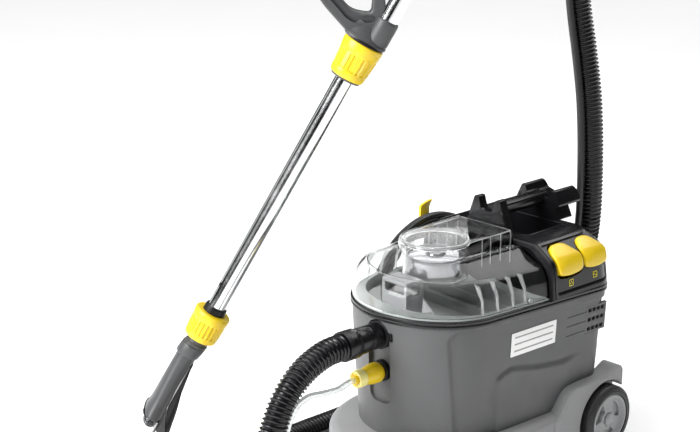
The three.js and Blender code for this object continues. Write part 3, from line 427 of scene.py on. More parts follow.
def rounded(corners, radius, steps=6):
    """The outline with each corner rounded; radius is one number or one for each corner."""
    radii = radius if isinstance(radius, (list, tuple)) else [radius] * len(corners)
    points = []
    for i, corner in enumerate(corners):
        here = Vector(corner)
        before = Vector(corners[i - 1])
        after = Vector(corners[(i + 1) % len(corners)])
        reach = min(radii[i], (before - here).length * 0.49, (after - here).length * 0.49)
        start = here + (before - here).normalized() * reach
        end = here + (after - here).normalized() * reach
        for k in range(steps + 1):
            t = k / steps
            points.append(tuple(start * (1 - t) ** 2 + here * 2 * t * (1 - t) + end * t * t))
    return points


def spline(points, per_span=24):
    """Centripetal Catmull-Rom curve through the points."""
    knots = [Vector(p) for p in points]
    out = []
    for i in range(len(knots) - 1):
        p1, p2 = knots[i], knots[i + 1]
        p0 = knots[i - 1] if i else p1 * 2 - p2
        p3 = knots[i + 2] if i + 2 < len(knots) else p2 * 2 - p1
        d0, d1, d2 = ((b - a).length ** 0.5 for a, b in ((p0, p1), (p1, p2), (p2, p3)))
        m1 = ((p1 - p0) / d0 - (p2 - p0) / (d0 + d1) + (p2 - p1) / d1) * d1
        m2 = ((p2 - p1) / d1 - (p3 - p1) / (d1 + d2) + (p3 - p2) / d2) * d1
        for k in range(per_span):
            t = k / per_span
            out.append(p1 * (2 * t**3 - 3 * t**2 + 1) + m1 * (t**3 - 2 * t**2 + t)
                       + p2 * (3 * t**2 - 2 * t**3) + m2 * (t**3 - t**2))
    out.append(knots[-1])
    return out


def lengths(points):
    total, out = 0.0, [0.0]
    for a, b in zip(points, points[1:]):
        total += (b - a).length
        out.append(total)
    return out


def resampled(points, step):
    """The same line with points a fixed distance apart."""
    at = lengths(points)
    count = max(2, round(at[-1] / step))
    wanted = np.linspace(0, at[-1], count + 1)
    columns = [np.interp(wanted, at, [p[k] for p in points]) for k in range(3)]
    return [Vector(p) for p in zip(*columns)]


def frames(points):
    """A direction and two cross directions at each point, turning as little as they can."""
    out = []
    side = None
    for i, point in enumerate(points):
        ahead = points[min(i + 1, len(points) - 1)] - points[max(i - 1, 0)]
        ahead.normalize()
        if side is None:
            side = ahead.orthogonal()
        side = (side - ahead * side.dot(ahead)).normalized()
        out.append((ahead, side, ahead.cross(side)))
    return out


def swept(points, radius, sides=16, caps=True):
    """A round tube along a line; radius is a number or one for each point."""
    radii = radius if isinstance(radius, list) else [radius] * len(points)
    rings = []
    for point, r, (_, side, other) in zip(points, radii, frames(points)):
        rings.append([point + side * (r * math.cos(a)) + other * (r * math.sin(a))
                      for a in (2 * math.pi * i / sides for i in range(sides))])
    return loft(rings, caps)


def mesh_object(name, shape, material, smooth=32.0, local=None):
    """An object at the origin with its shape in place, in metres."""
    matrix = local or Matrix.Identity(4)
    mesh = bpy.data.meshes.new(name)
    mesh.from_pydata([place(matrix @ Vector(v)) for v in shape[0]], [], shape[1])
    work = bmesh.new()
    work.from_mesh(mesh)
    bmesh.ops.remove_doubles(work, verts=work.verts, dist=1e-6)
    bmesh.ops.recalc_face_normals(work, faces=work.faces)
    work.to_mesh(mesh)
    work.free()
    piece = bpy.data.objects.new(name, mesh)
    bpy.context.scene.collection.objects.link(piece)
    mesh.materials.append(material)
    soften(piece, smooth)
    return piece


def soften(piece, angle):
    mesh = piece.data
    mesh.polygons.foreach_set("use_smooth", [True] * len(mesh.polygons))
    mesh.set_sharp_from_angle(angle=math.radians(angle))


def applied(piece, *modifiers):
    """Adds the modifiers (type, settings), applies them and returns the piece."""
    for kind, settings in modifiers:
        modifier = piece.modifiers.new(kind.lower(), kind)
        for key, value in settings.items():
            setattr(modifier, key, value)
    graph = bpy.context.evaluated_depsgraph_get()
    finished = bpy.data.meshes.new_from_object(piece.evaluated_get(graph))
    piece.modifiers.clear()
    old = piece.data
    piece.data = finished
    finished.name = piece.name
    bpy.data.meshes.remove(old)
    return piece


def bevelled(piece, width, segments=3, angle=30.0, smooth=32.0):
    applied(piece, ("BEVEL", {"width": width * MM, "segments": segments, "limit_method": "ANGLE",
                              "angle_limit": math.radians(angle), "use_clamp_overlap": True}))
    soften(piece, smooth)
    return piece


def cut_with(piece, tool, operation="DIFFERENCE", careful=False):
    """Cuts the tool object out of the piece, or joins it on, and deletes the tool."""
    applied(piece, ("BOOLEAN", {"object": tool, "operation": operation, "solver": "EXACT",
                                "use_self": careful, "use_hole_tolerant": careful}))
    mesh = tool.data
    bpy.data.objects.remove(tool)
    bpy.data.meshes.remove(mesh)


def carved(piece, *shapes, operation="DIFFERENCE", local=None, smooth=32.0, careful=False):
    """Cuts the shapes out of the piece, or joins them to it."""
    for shape in shapes:
        tool = mesh_object(f"{piece.name}_tool", shape, piece.data.materials[0], local=local)
        cut_with(piece, tool, operation, careful)
    soften(piece, smooth)


def finished(piece, body, slot, *nodes):
    """The piece rides on its body and stands for CAD nodes; slot is not used."""
    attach(piece, body)
    if nodes:
        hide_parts(*nodes)
    return piece


def piece_of(name, shape, material, body, slot, nodes=(), local=None, bevel=0.0, smooth=32.0, segments=3):
    piece = mesh_object(name, shape, material, smooth, local)
    if bevel:
        bevelled(piece, bevel, segments, 30.0, smooth)
    return finished(piece, body, slot, *nodes)


# ------------------------------------------------------------------ shared places
WHEEL_CENTRE = (200, 0, 58)
PORT_CENTRE = (0, 0, 266)
COUPLING_CENTRE = (0, 0, 205)
HOOK_CENTRE = (118, 0, 331)
LOWER_HOOK_CENTRE = (118, 0, 111)
GLAND_CENTRE = (168, 0, 240)
FLOAT_CENTRE = (-58, 0, 0)
# in the wand's own frame
NOZZLE_AXIS = (33, 0, 0)
SPRAY_TUBE_AXIS = (12, 14.5, 0)
UPPER_TUBE_AXIS = (14, -5, 0)


# ------------------------------------------------------------------ floor
def floor_material():
    n = Nodes("pale_floor")
    n.link(n.mix(n.ramp(n.noise(3.0, 2.0), 0.0, 1.0), (0.93, 0.93, 0.93), (0.95, 0.95, 0.95)),
           n.shader.inputs["Base Color"])
    n.shader.inputs["Roughness"].default_value = 0.9
    n.shader.inputs["Emission Color"].default_value = (1.0, 1.0, 1.0, 1.0)
    n.shader.inputs["Emission Strength"].default_value = 0.1
    return n.material


FLOOR_REACH = 14000.0
FLOOR_CORNERS = [(x, y, -0.5) for x, y in rectangle(-FLOOR_REACH, -FLOOR_REACH, FLOOR_REACH, FLOOR_REACH)]
mesh_object("floor", (FLOOR_CORNERS, [(0, 1, 2, 3)]), floor_material())


# ------------------------------------------------------------------ hoses and mains lead
HOSE_ROUTE = [
    (-14.1, -76.1, 1034.3), (-7.2, -82.7, 1051.8), (1.6, -91, 1073.7), (36, -110, 1138), (90, -98, 1178),
    (150, -68, 1190), (208, -32, 1165), (252, 0, 1110), (280, 22, 1030), (296, 32, 930), (303, 30, 830),
    (307, 24, 730), (315, 12, 645), (320, 0, 560), (321, -8, 450), (321, -8, 345), (325, 8, 260),
              (332, 28, 170),
    (338, 54, 98), (333, 98, 46), (313, 153, 23), (268, 197, 21.5), (200, 209, 21.5), (120, 209, 21.5),
    (20, 209, 21.5), (-80, 209, 21.5), (-180, 209, 21.5), (-268, 195, 21.5), (-338, 158, 21.5),
              (-382, 104, 26),
    (-402, 52, 52), (-408, 16, 104), (-402, 2, 160), (-381, 0, 209), (-343, 0, 246), (-306, 0, 262),
    (-284, 0, 266), (-273, 0, 266), (-262.3, 0, 266),
]
RIB_PITCH = 7.0
hose_line = resampled(spline(HOSE_ROUTE, 40), 1.0)


def ribbed_hose(line, pitch, profile, sides):
    """A tube whose rib winds round it as a screw. Profile rows are (share of the pitch, radius)."""
    at = lengths(line)
    total = at[-1]
    axes = frames(line)
    turns = int(total / pitch) + 1
    rows = [(turn + share, radius) for turn in range(-1, turns + 1) for share, radius in profile]
    per_turn = len(profile)
    vertices, faces = [], []
    for turn, radius in rows:
        for j in range(sides):
            s = min(max((turn + j / sides) * pitch, 0.0), total)
            k = min(int(s / total * (len(line) - 1)), len(line) - 2)
            t = (s - at[k]) / (at[k + 1] - at[k])
            point = line[k].lerp(line[k + 1], t)
            side, other = axes[k][1].lerp(axes[k + 1][1], t), axes[k][2].lerp(axes[k + 1][2], t)
            angle = 2 * math.pi * j / sides
            vertices.append(point + side * (radius * math.cos(angle)) + other * (radius * math.sin(angle)))
    for i in range(len(rows) - 1):
        for j in range(sides):
            if j + 1 < sides:
                right, right_up = i * sides + j + 1, (i + 1) * sides + j + 1
            elif i + 1 + per_turn < len(rows):
                right, right_up = (i + per_turn) * sides, (i + 1 + per_turn) * sides
            else:
                continue
            faces.append((i * sides + j, right, right_up, (i + 1) * sides + j))
    return vertices, faces


HOSE_PROFILE = [(0.0, 17.6), (0.2, 17.6), (0.4, 20.6), (0.52, 21.0), (0.64, 20.6), (0.84, 17.6)]


def tidied(piece):
    """Merges what the ends squeezed to nothing and closes them."""
    work = bmesh.new()
    work.from_mesh(piece.data)
    bmesh.ops.remove_doubles(work, verts=work.verts, dist=2e-5)
    bmesh.ops.dissolve_degenerate(work, edges=work.edges, dist=1e-6)
    bmesh.ops.holes_fill(work, edges=[e for e in work.edges if e.is_boundary], sides=0)
    bmesh.ops.recalc_face_normals(work, faces=work.faces)
    work.to_mesh(piece.data)
    work.free()
    return piece


hose_shape = ribbed_hose(hose_line, RIB_PITCH, HOSE_PROFILE, 30)
hose = tidied(mesh_object("suction_hose_ribbed", hose_shape, HOSE_BLACK))
soften(hose, 40)
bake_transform(hose)
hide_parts("suction_hose")


def inside_of(point, tangent):
    """The direction from the hose to the side that faces the machine, square to the hose."""
    towards = Vector((point.x * 0.3, 0.0, min(point.z, 900.0))) - point
    towards -= tangent * towards.dot(tangent)
    return towards.normalized()


SHEATH_RADIUS = 6.0
SHEATH_OFFSET = 28.0
SHEATH_SHARES = (0.002, 0.925)
sheath_points = []
for i in range(61):
    share = SHEATH_SHARES[0] + (SHEATH_SHARES[1] - SHEATH_SHARES[0]) * i / 60
    k = min(int(share * (len(hose_line) - 1)), len(hose_line) - 2)
    tangent = (hose_line[k + 1] - hose_line[k]).normalized()
    sheath_points.append(hose_line[k] + inside_of(hose_line[k], tangent) * SHEATH_OFFSET)
sheath_line = resampled(spline(sheath_points, 8), 6.0)
sheath = mesh_object("spray_line_sheath", swept(sheath_line, SHEATH_RADIUS, 18), SHEATH_BLACK)
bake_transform(sheath)
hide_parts("spray_sheath")
round(lengths(sheath_line)[-1] * MM, 2)

WATER_ROUTE = [(-226, 0, 205), (-236, 0, 205), (-247, 0, 204.6), (-268, 0, 200), (-300, 0, 202),
               (-330, 0, 205), (-353, 0, 196), (-367, 0, 177), (-373.8, 0.4, 158.3), (-375, 3.2, 145.6)]
water_line = resampled(spline(WATER_ROUTE, 20), 4.0)
water_hose = mesh_object("clear_water_hose", swept(water_line, 5.0, 18), CLEAR_HOSE)
finished(water_hose, "machine", "clear_hose", "water_hose")
round(lengths(water_line)[-1] * MM, 2)

# The lead: out of the gland, down the wall, eight turns on the two hooks, then up to the plug.
COIL_CENTRE = (118.0, 216.0)
LEAD_RADIUS = 4.0
STRANDS = [(126, 172), (126, 180), (126, 188), (134, 188), (134, 180), (134, 172), (142, 172), (142, 180),
           (142, 188)]
FIRST_ANGLE = 281.0
LAST_ANGLE = 231.0


def coil_point(degrees, radius, y):
    angle = math.radians(degrees)
    return Vector((COIL_CENTRE[0] + radius * math.cos(angle), y, COIL_CENTRE[1] + radius * math.sin(angle)))


lead_points = [Vector(p) for p in ((168, 152, 200), (168, 152, 184), (168.5, 153.5, 170), (167, 160, 148),
                                   (159, 167, 127), (149, 171, 112), (139, 172.5, 102))]
COIL_STEP = 15.0
TURNS = 8
angle = FIRST_ANGLE - 18.0
last_wound = LAST_ANGLE + 105.0 - 360.0 * TURNS
while angle > last_wound:
    wound = (FIRST_ANGLE - angle) / 360.0
    k = min(int(wound), len(STRANDS) - 2)
    # each turn steps over to the next place while it crosses the bottom
    shift = min(1.0, max(0.0, (wound - k - 0.86) / 0.14))
    shift = shift * shift * (3 - 2 * shift)
    (r0, y0), (r1, y1) = STRANDS[k], STRANDS[k + 1]
    sway = 1.2 * math.sin(math.radians(angle * 1.31 + 40 * k))
    lead_points.append(coil_point(angle, r0 + (r1 - r0) * shift + max(0.0, sway) * (k >= 6),
                                  y0 + (y1 - y0) * shift))
    angle -= COIL_STEP
for ahead, radius, y in ((92, 142, 186), (74, 141, 191), (56, 138, 196), (38, 131, 197.5), (20, 122, 194),
                         (8, 117, 186)):
    lead_points.append(coil_point(LAST_ANGLE + ahead, radius, y))
lead_points += [Vector(p) for p in ((46, 180.5, 126), (34, 180, 141), (25, 180, 158), (20, 180, 175),
                                    (19, 180, 196))]
lead_line = resampled(spline(lead_points, 10), 6.0)
lead = mesh_object("mains_lead", swept(lead_line, LEAD_RADIUS, 12), LEAD_RUBBER)
finished(lead, "machine", "lead_black", "lead_start", "lead_coil", "lead_tail")

plug_profile = [(0, -4), (5.2, -4), (5.6, -2), (5.0, -0.6), (5.0, 0.6), (6.0, 1.4), (6.2, 3.4), (5.4, 4.6),
                (5.6, 6.0), (7.0, 7.0), (7.2, 9.4), (6.4, 10.8), (6.8, 12.2), (8.6, 16), (11.5, 20),
                (15.6, 23.6), (17, 27), (17, 46), (16.4, 48.6), (15, 49.6), (0, 50)]


def plug_shape():
    def flattened(angle, radius, along):
        grip = 1.0 - 0.13 * abs(math.cos(angle)) ** 3 * (1.0 if 18 < along < 44 else 0.0)
        return radius * grip
    body = lathe(plug_profile, "z", (19, 180, 190), 48, wobble=flattened)
    pins = [lathe([(0, 49), (2.4, 49), (2.4, 66.5), (1.9, 68.4), (0, 69)], "z", (19, 180 + y, 190), 20)
            for y in (-9.5, 9.5)]
    return body, pins


plug_body, plug_pins = plug_shape()
plug = piece_of("mains_plug_body", plug_body, SATIN_BLACK, "machine", "black_satin", ("mains_plug",))
pins = piece_of("mains_plug_pins", merged(*plug_pins), CHROME, "machine", "chrome")

relief = [(0, 43), (8.6, 43), (9.0, 41)]
for k in range(8):
    top = 38.0 - 4.6 * k
    width = 8.6 - 0.36 * k
    relief += [(width, top), (width, top - 2.6), (width - 1.4, top - 3.0), (width - 1.4, top - 4.2)]
relief += [(5.5, 0.6), (5.2, 0), (0, 0)]
gland_shape = merged(
    lathe([(0, 131), (7, 131), (7, 144), (12, 144.2), (12.6, 145.4), (12.6, 147.4), (11, 149), (10.4, 158),
           (8, 162.4), (3.5, 164), (0, 164)], "y", GLAND_CENTRE, 40),
    lathe(relief, "z", (168, 152, 194), 28))
piece_of("lead_gland", gland_shape, SEAL_RUBBER, "machine", "black_rubber", ("cable_gland",))


# ------------------------------------------------------------------ housing
# The plan is a rounded nose, sides that spread towards the rear, and a rear with rounded corners.
NOSE_AT = -65.0
NOSE_LENGTH = 125.0
NOSE_HALF = 134.0
REAR_AT = 228.0
REAR_HALF = 147.0
REAR_CORNER = 48.0
SPREAD = 13.0 / 245.0
STRAIGHT_TO = 180.0
LID_END = 58.0


def rim(x):
    """Height of the parting line, which slopes down to the rear."""
    return 300.0 - 10.0 * (x + 190.0) / 418.0


def half_width(x):
    return NOSE_HALF + SPREAD * max(0.0, x - NOSE_AT)


def smooth_step(t):
    t = min(1.0, max(0.0, t))
    return t * t * (3 - 2 * t)


def half_plan(nose=100, side=122, corner=22, rear=24):
    """Plan positions from the nose to the middle of the rear, on one side."""
    out = [("nose", math.pi / 2 * (1 - i / nose)) for i in range(nose)]
    out += [("side", i / side) for i in range(side)]
    out += [("corner", math.pi / 2 * i / corner) for i in range(corner)]
    out += [("rear", i / rear) for i in range(rear + 1)]
    return out


def nose_point(t, inset, nose_inset):
    return NOSE_AT - (NOSE_LENGTH - nose_inset) * math.sin(t), (NOSE_HALF - inset) * math.cos(t)


def plan_point(spot, inset, nose_inset=None):
    """(x, y) on the housing's plan, y counted outwards from the middle plane."""
    kind, t = spot
    if kind == "nose":
        return nose_point(t, inset, inset if nose_inset is None else nose_inset)
    radius = max(8.0, REAR_CORNER - inset)
    centre = (REAR_AT - inset - radius, REAR_HALF - inset - radius)
    if kind == "side":
        x = NOSE_AT + (centre[0] - NOSE_AT) * t
        return x, half_width(min(x, STRAIGHT_TO)) - inset
    if kind == "corner":
        return centre[0] + radius * math.sin(t), centre[1] + radius * math.cos(t)
    return REAR_AT - inset, centre[1] * (1 - t)


def ring_on_plan(spots, point):
    """A closed ring: the near side from nose to rear, then the far side back; point(spot) gives (x, y, z)."""
    half = [point(spot) for spot in spots]
    near = [(x, -y, z) for x, y, z in half]
    far = [(x, y, z) for x, y, z in reversed(half)]
    return near[:-1] + far[:-1]


def rings_at(levels, spots, outline):
    """Rings for a loft. A level is (height function, then the insets that the outline takes)."""
    def ring(height, insets):
        def point(spot):
            x, y = outline(spot, *insets)
            return x, y, height(x)
        return ring_on_plan(spots, point)
    return [ring(height, insets) for height, *insets in levels]


FLOOR_Z = 97.3
WALL_INSETS = ([97.3, 210.0, 285.0], [14.0, 7.0, 3.0])


def corner_distance(dx, dz, radius):
    """Distance inside two edges that meet in a rounded corner."""
    if dx < radius and dz < radius:
        return radius - math.hypot(radius - dx, radius - dz)
    return min(dx, dz)


def sunk_panel(x, z):
    """The large side panel, which lies deeper than the nose and the strip under the rim."""
    front = np.interp(z, [120.0, 275.0], [-128.5, -140.0])
    top = np.interp(x, [-140, -126, -93, -7, 85, 198], [280, 285, 288, 282, 276, 270])
    dx, dz = x - front, top - z
    slope = 5.5 if dx < dz else 2.6
    if dx < 13 and dz < 13:
        slope = 2.6 + 2.9 * (13 - dx) / max(1e-6, (13 - dx) + (13 - dz))
    return -3.8 * smooth_step(corner_distance(dx, dz, 13.0) / slope)


def raised_foot(x, z):
    """The lower rear part of the side, which stands out and fades away towards the rear."""
    front = np.interp(z, [106, 156, 187, 206], [-44.0, -48.0, -49.0, -30.0])
    top = np.interp(x, [-22, 44, 101, 169, 197], [207.0, 193.0, 186.0, 190.0, 196.0])
    dx, dz = x - front, top - z
    slope = 6.5 if dx < dz else 12.0
    fade = 1.0 - 0.9 * smooth_step((x - 108.0) / 50.0)
    return 4.6 * fade * smooth_step(corner_distance(dx, dz, 26.0) / slope)


def panel_step(x, z):
    """How far the side wall stands out of its plain surface."""
    return sunk_panel(x, z) + raised_foot(x, z)


def wall_point(spot, t):
    x = plan_point(spot, 5.0)[0]
    z = FLOOR_Z + t * (rim(x) - 8.3 - FLOOR_Z)
    inset = float(np.interp(z, *WALL_INSETS))
    step = panel_step(x, z) if spot[0] in ("nose", "side") else panel_step(180.0, z)
    if spot[0] == "rear":
        step *= 1 - smooth_step(spot[1] * 4)
    x, y = plan_point(spot, inset - step)
    return x, y, z


SPOTS = half_plan()
ROWS = 88
housing = mesh_object("housing_shell", loft([ring_on_plan(SPOTS, lambda spot: wall_point(spot, r / ROWS))
                                             for r in range(ROWS + 1)]), BODY_GREY, 30)

FEW = half_plan(30, 6, 8, 2)


def level(z):
    return lambda x: z


def above_rim(z):
    return lambda x: rim(x) + z


CAVITY_LEVELS = [(level(104.3), 19, 42), (level(210), 12, 33), (above_rim(20), 8, 27)]
cavity = loft(rings_at(CAVITY_LEVELS, FEW, plan_point))
# The recess below the port: round at the top, straight down, and square with rounded corners at the foot.
RECESS_OUTLINE = [(23.3 * math.sin(a), 266 + 23.3 * math.cos(a))
                  for a in (math.radians(-90 + 7.5 * i) for i in range(25))]
RECESS_OUTLINE += [(23, 167)] + [(9 + 14 * math.cos(a), 167 - 14 * math.sin(a))
                                 for a in (math.radians(9 * i) for i in range(1, 11))]
RECESS_OUTLINE += [(-y, z) for y, z in reversed(RECESS_OUTLINE[-10:])] + [(-23, 167)]
recess_rings = []
for x, grow in ((-172.0, -1.2), (-173.2, -0.3), (-175.0, 0.0), (-181.0, 0.0), (-184.0, 0.5), (-187.0, 2.0),
                (-195.0, 2.6), (-240.0, 2.6)):
    ring = []
    for y, z in RECESS_OUTLINE:
        away = Vector((y, z)) - Vector((0, min(266, max(176, z))))
        away = away.normalized() if away.length > 1e-6 else Vector((0, 0))
        ring.append((x, y + away.x * grow, z + away.y * grow))
    recess_rings.append(ring)
recess_cut = loft(recess_rings)
port_cuts = merged(rod(22.3, -200, -130, "x", PORT_CENTRE, 48),
                   rod(12.3, -200, -130, "x", COUPLING_CENTRE, 36))
carved(housing, cavity, recess_cut, port_cuts)


WALL_LEAN = 0.05


def turned_to_wall(x, y_out, z):
    """A matrix that lays local X along the near side wall and local -Y out of it."""
    turned = Matrix.Translation((x, -y_out, z)) @ Matrix.Rotation(-math.atan(SPREAD), 4, "Z")
    return turned @ Matrix.Rotation(WALL_LEAN, 4, "X")


def wall_out(x, z):
    return half_width(min(x, STRAIGHT_TO)) - float(np.interp(z, *WALL_INSETS)) + panel_step(x, z)


vent_frame = turned_to_wall(181, wall_out(181, 238), 238)
VENT_HALF = (24.6, 23.6)


def vent_block(shrink, outside, inside):
    """A block as large as the vent, or a little smaller, between two distances behind the wall's face."""
    across, up = VENT_HALF[0] - shrink, VENT_HALF[1] - shrink
    return block((-across, outside, -up), (across, inside, up))


carved(housing, vent_block(-0.3, -12, 18), local=vent_frame)
VENT_ROWS = (-16.5, 0.0, 16.0)
grooves = merged(*[block((-71, -6, z - 0.9), (-24, 0.9, z + 0.9)) for z in VENT_ROWS])
carved(housing, grooves, local=vent_frame)
carved(housing, rod(7.3, 120, 160, "y", GLAND_CENTRE, 32))
finished(housing, "machine", "body_grey", "housing")

piece_of("housing_bulkhead", loft(
    [[(x, y, z) for y, z in ((-123, 104.5), (123, 104.5), (129.5, 281), (-129.5, 281))] for x in (60, 64)]),
    BODY_GREY, "machine", "body_grey", bevel=0.8)

grille = mesh_object("vent_grille_slotted", vent_block(0.0, 0.15, 5.0), BODY_GREY, local=vent_frame)
slots = []
for row in VENT_ROWS:
    for column in range(4):
        x = -19.5 + 10.2 * column
        slots.append(prism(rounded(rectangle(x, row - 3.3, x + 8.4, row + 3.3), 1.6), -4, 9))
carved(grille, merged(*slots), local=vent_frame)
bevelled(grille, 0.4, 2)
finished(grille, "machine", "body_grey", "vent_grille")
piece_of("vent_dust_screen", vent_block(1, 6.0, 6.8), SATIN_BLACK, "machine", "black_satin",
         local=vent_frame)

BAND = [(8, -8), (1.6, -8), (0.4, -7.4), (0, -6.4), (0, -3.6), (0.5, -2.9), (1.9, -2.6), (1.9, -1.9),
        (0.5, -1.6), (0, -1.0), (0, 2.2), (0.5, 3.3), (1.5, 4.0), (8, 4.0)]
band_levels = [(above_rim(z), inset, inset if inset < 8 else 27) for inset, z in BAND]
band_rings = rings_at(band_levels, half_plan(60, 30, 12, 6), plan_point)
band = mesh_object("lid_seal_band", loft(band_rings, False, True), SEAL_RUBBER, 40)
finished(band, "machine", "black_rubber", "rim_band")


# ------------------------------------------------------------------ chassis and wheels
def chassis_ring(inset, z, steps=44):
    points = []
    for i in range(steps + 1):
        angle = math.pi * i / steps
        points.append((-70 - (170 - inset) * math.sin(angle), (151 - inset) * math.cos(angle), z))
    side, rear, corner = 151 - inset, 246 - inset, 14.0
    quarter = [math.pi / 2 * i / 8 for i in range(9)]
    for hand, angles in ((-1, quarter), (1, quarter[::-1])):
        for a in angles:
            across = hand * (side - corner + corner * math.cos(a))
            points.append((rear - corner + corner * math.sin(a), across, z))
    return points


CHASSIS_LEVELS = [(2.4, 22), (0.8, 22.6), (0, 24), (1.7, 86), (2.3, 89), (3.6, 91.4), (6, 93.4), (10, 95.4),
                  (13.5, 96.6), (16, 97)]
chassis = mesh_object("chassis_pan", loft([chassis_ring(*item) for item in CHASSIS_LEVELS]), CHASSIS_GREY)
FENDER = rounded([(70, 60), (70, 88), (84, 96), (110, 133), (205, 133), (230, 146), (246, 138), (246, 23),
                  (200, 23)],
                 [6, 6, 16, 14, 16, 14, 10, 3, 4], 8)


def inset_outline(outline, amount):
    """The outline moved inwards; it runs either way round."""
    count = len(outline)
    area = sum(outline[i][0] * outline[(i + 1) % count][1] - outline[(i + 1) % count][0] * outline[i][1]
               for i in range(count))
    turn = 1.0 if area > 0 else -1.0
    out = []
    for i in range(count):
        before, after = Vector(outline[i - 1]), Vector(outline[(i + 1) % count])
        along = (after - before).normalized()
        out.append((outline[i][0] - turn * along.y * amount, outline[i][1] + turn * along.x * amount))
    return out


def pillow(outline, base, top, edge, plane="xz", steps=5, bottom_edge=0.0):
    """A prism whose top face has a rounded edge; base and top are distances square to the plane."""
    sign = 1.0 if top > base else -1.0
    levels = [(base, 0.0)]
    if bottom_edge:
        levels = [(base, bottom_edge)] + [(base + sign * bottom_edge * (1 - math.cos(a)),
                                           bottom_edge * (1 - math.sin(a)))
                                          for a in (math.pi / 2 * i / steps for i in range(1, steps + 1))]
    for i in range(steps + 1):
        a = math.pi / 2 * i / steps
        levels.append((top - sign * edge * (1 - math.sin(a)), edge * (1 - math.cos(a))))
    return loft([[on_plane(plane, a, b, across) for a, b in inset_outline(outline, amount)]
                 for across, amount in levels])


carved(chassis, pillow(FENDER, -120, -152, 3.0), operation="UNION")
carved(chassis, pillow(FENDER, 120, 152, 3.0), operation="UNION")
under = loft([chassis_ring(inset, z) for inset, z in ((9, 12), (12, 70), (30, 88))])
hollow = mesh_object("chassis_hollow", under, CHASSIS_GREY)
# the hollow stops short of the wheels
carved(hollow, merged(*[block((122, low, 0), (262, high, 100)) for low, high in ((-165, -124), (124, 165))]))
cut_with(chassis, hollow)
soften(chassis, 32)
ARCH = [(0, 131), (65, 131), (65, 149.6), (66.6, 152.4), (67, 180), (0, 180)]
arches = [lathe(facing(ARCH, side), "y", WHEEL_CENTRE, 96) for side in (-1, 1)]
stems = [rod(5.3, 50, 93.3, "z", (-140, y, 0), 24) for y in (-75, 75)]
carved(chassis, *arches, careful=True)
carved(chassis, *stems, rod(5.3, -140, 140, "y", WHEEL_CENTRE, 24),
       rod(5.3, 134.5, 160, "y", LOWER_HOOK_CENTRE, 24), careful=True)
finished(chassis, "machine", "body_grey", "chassis")


def tyre_shape(side):
    profile = [(44.3, 136), (50.5, 136), (53, 136.7), (57, 139.2), (58, 141)]
    for groove in (145.2, 150.2, 155.2):
        profile += [(58, groove - 0.7), (57.0, groove - 0.5), (57.0, groove + 0.5), (58, groove + 0.7)]
    profile += [(58, 157.6), (57.2, 160.2), (54.6, 162.8), (52.2, 164.2), (51.2, 164.3), (50.8, 163.6),
                (50.0, 163.5), (49.6, 164.4), (47.5, 165), (45.4, 164.9), (44.5, 164.2), (44.3, 163)]
    return lathe(facing(profile, side), "y", WHEEL_CENTRE, 96, closed=True)


def hub_piece(side, word, body):
    profile = [(5.3, 138), (13, 138), (13, 148), (36, 148), (36, 137), (43.2, 137), (44, 137.8), (44, 162.4),
               (43.4, 163.4), (41, 164.2), (39.2, 163.8), (37.4, 160.6), (35.6, 157.8), (33, 157.2),
               (20, 158.9), (14.5, 160.1), (13.2, 160.3), (12.8, 160.0), (5.3, 160.0)]
    hub = mesh_object(f"wheel_disc_{word}", lathe(facing(profile, side), "y", WHEEL_CENTRE, 96,
                                                 closed=True), WHEEL_GREY)
    windows = []
    for i in range(3):
        middle = math.radians(-90 + 120 * i)
        corners = []
        for radius, half in ((17.5, 0.50), (32.5, 0.62)):
            arc = [middle + half * (k / 5 - 1) for k in range(11)]
            arc = arc if radius < 20 else list(reversed(arc))
            corners += [(WHEEL_CENTRE[0] + radius * math.cos(a), WHEEL_CENTRE[2] + radius * math.sin(a))
                        for a in arc]
        outline = rounded(corners, 2.2, 3)
        windows.append(pillow(outline, side * 152.5, side * 170, 0.2))
    carved(hub, *windows)
    bevelled(hub, 0.5, 2, 34)
    finished(hub, body, "wheel_grey", f"wheel_hub_{word}")
    cap = [(0, 160.8), (11, 160.8), (11, 162.6), (10.4, 163.6), (9.3, 163.9), (8.9, 163.3), (8.3, 163.3),
           (7.9, 164.0), (5, 164.7), (0, 165)]
    piece_of(f"wheel_cap_{word}", lathe(facing(cap, side), "y", WHEEL_CENTRE, 64), WHEEL_GREY, body,
             "wheel_grey", (f"hub_cap_{word}",))


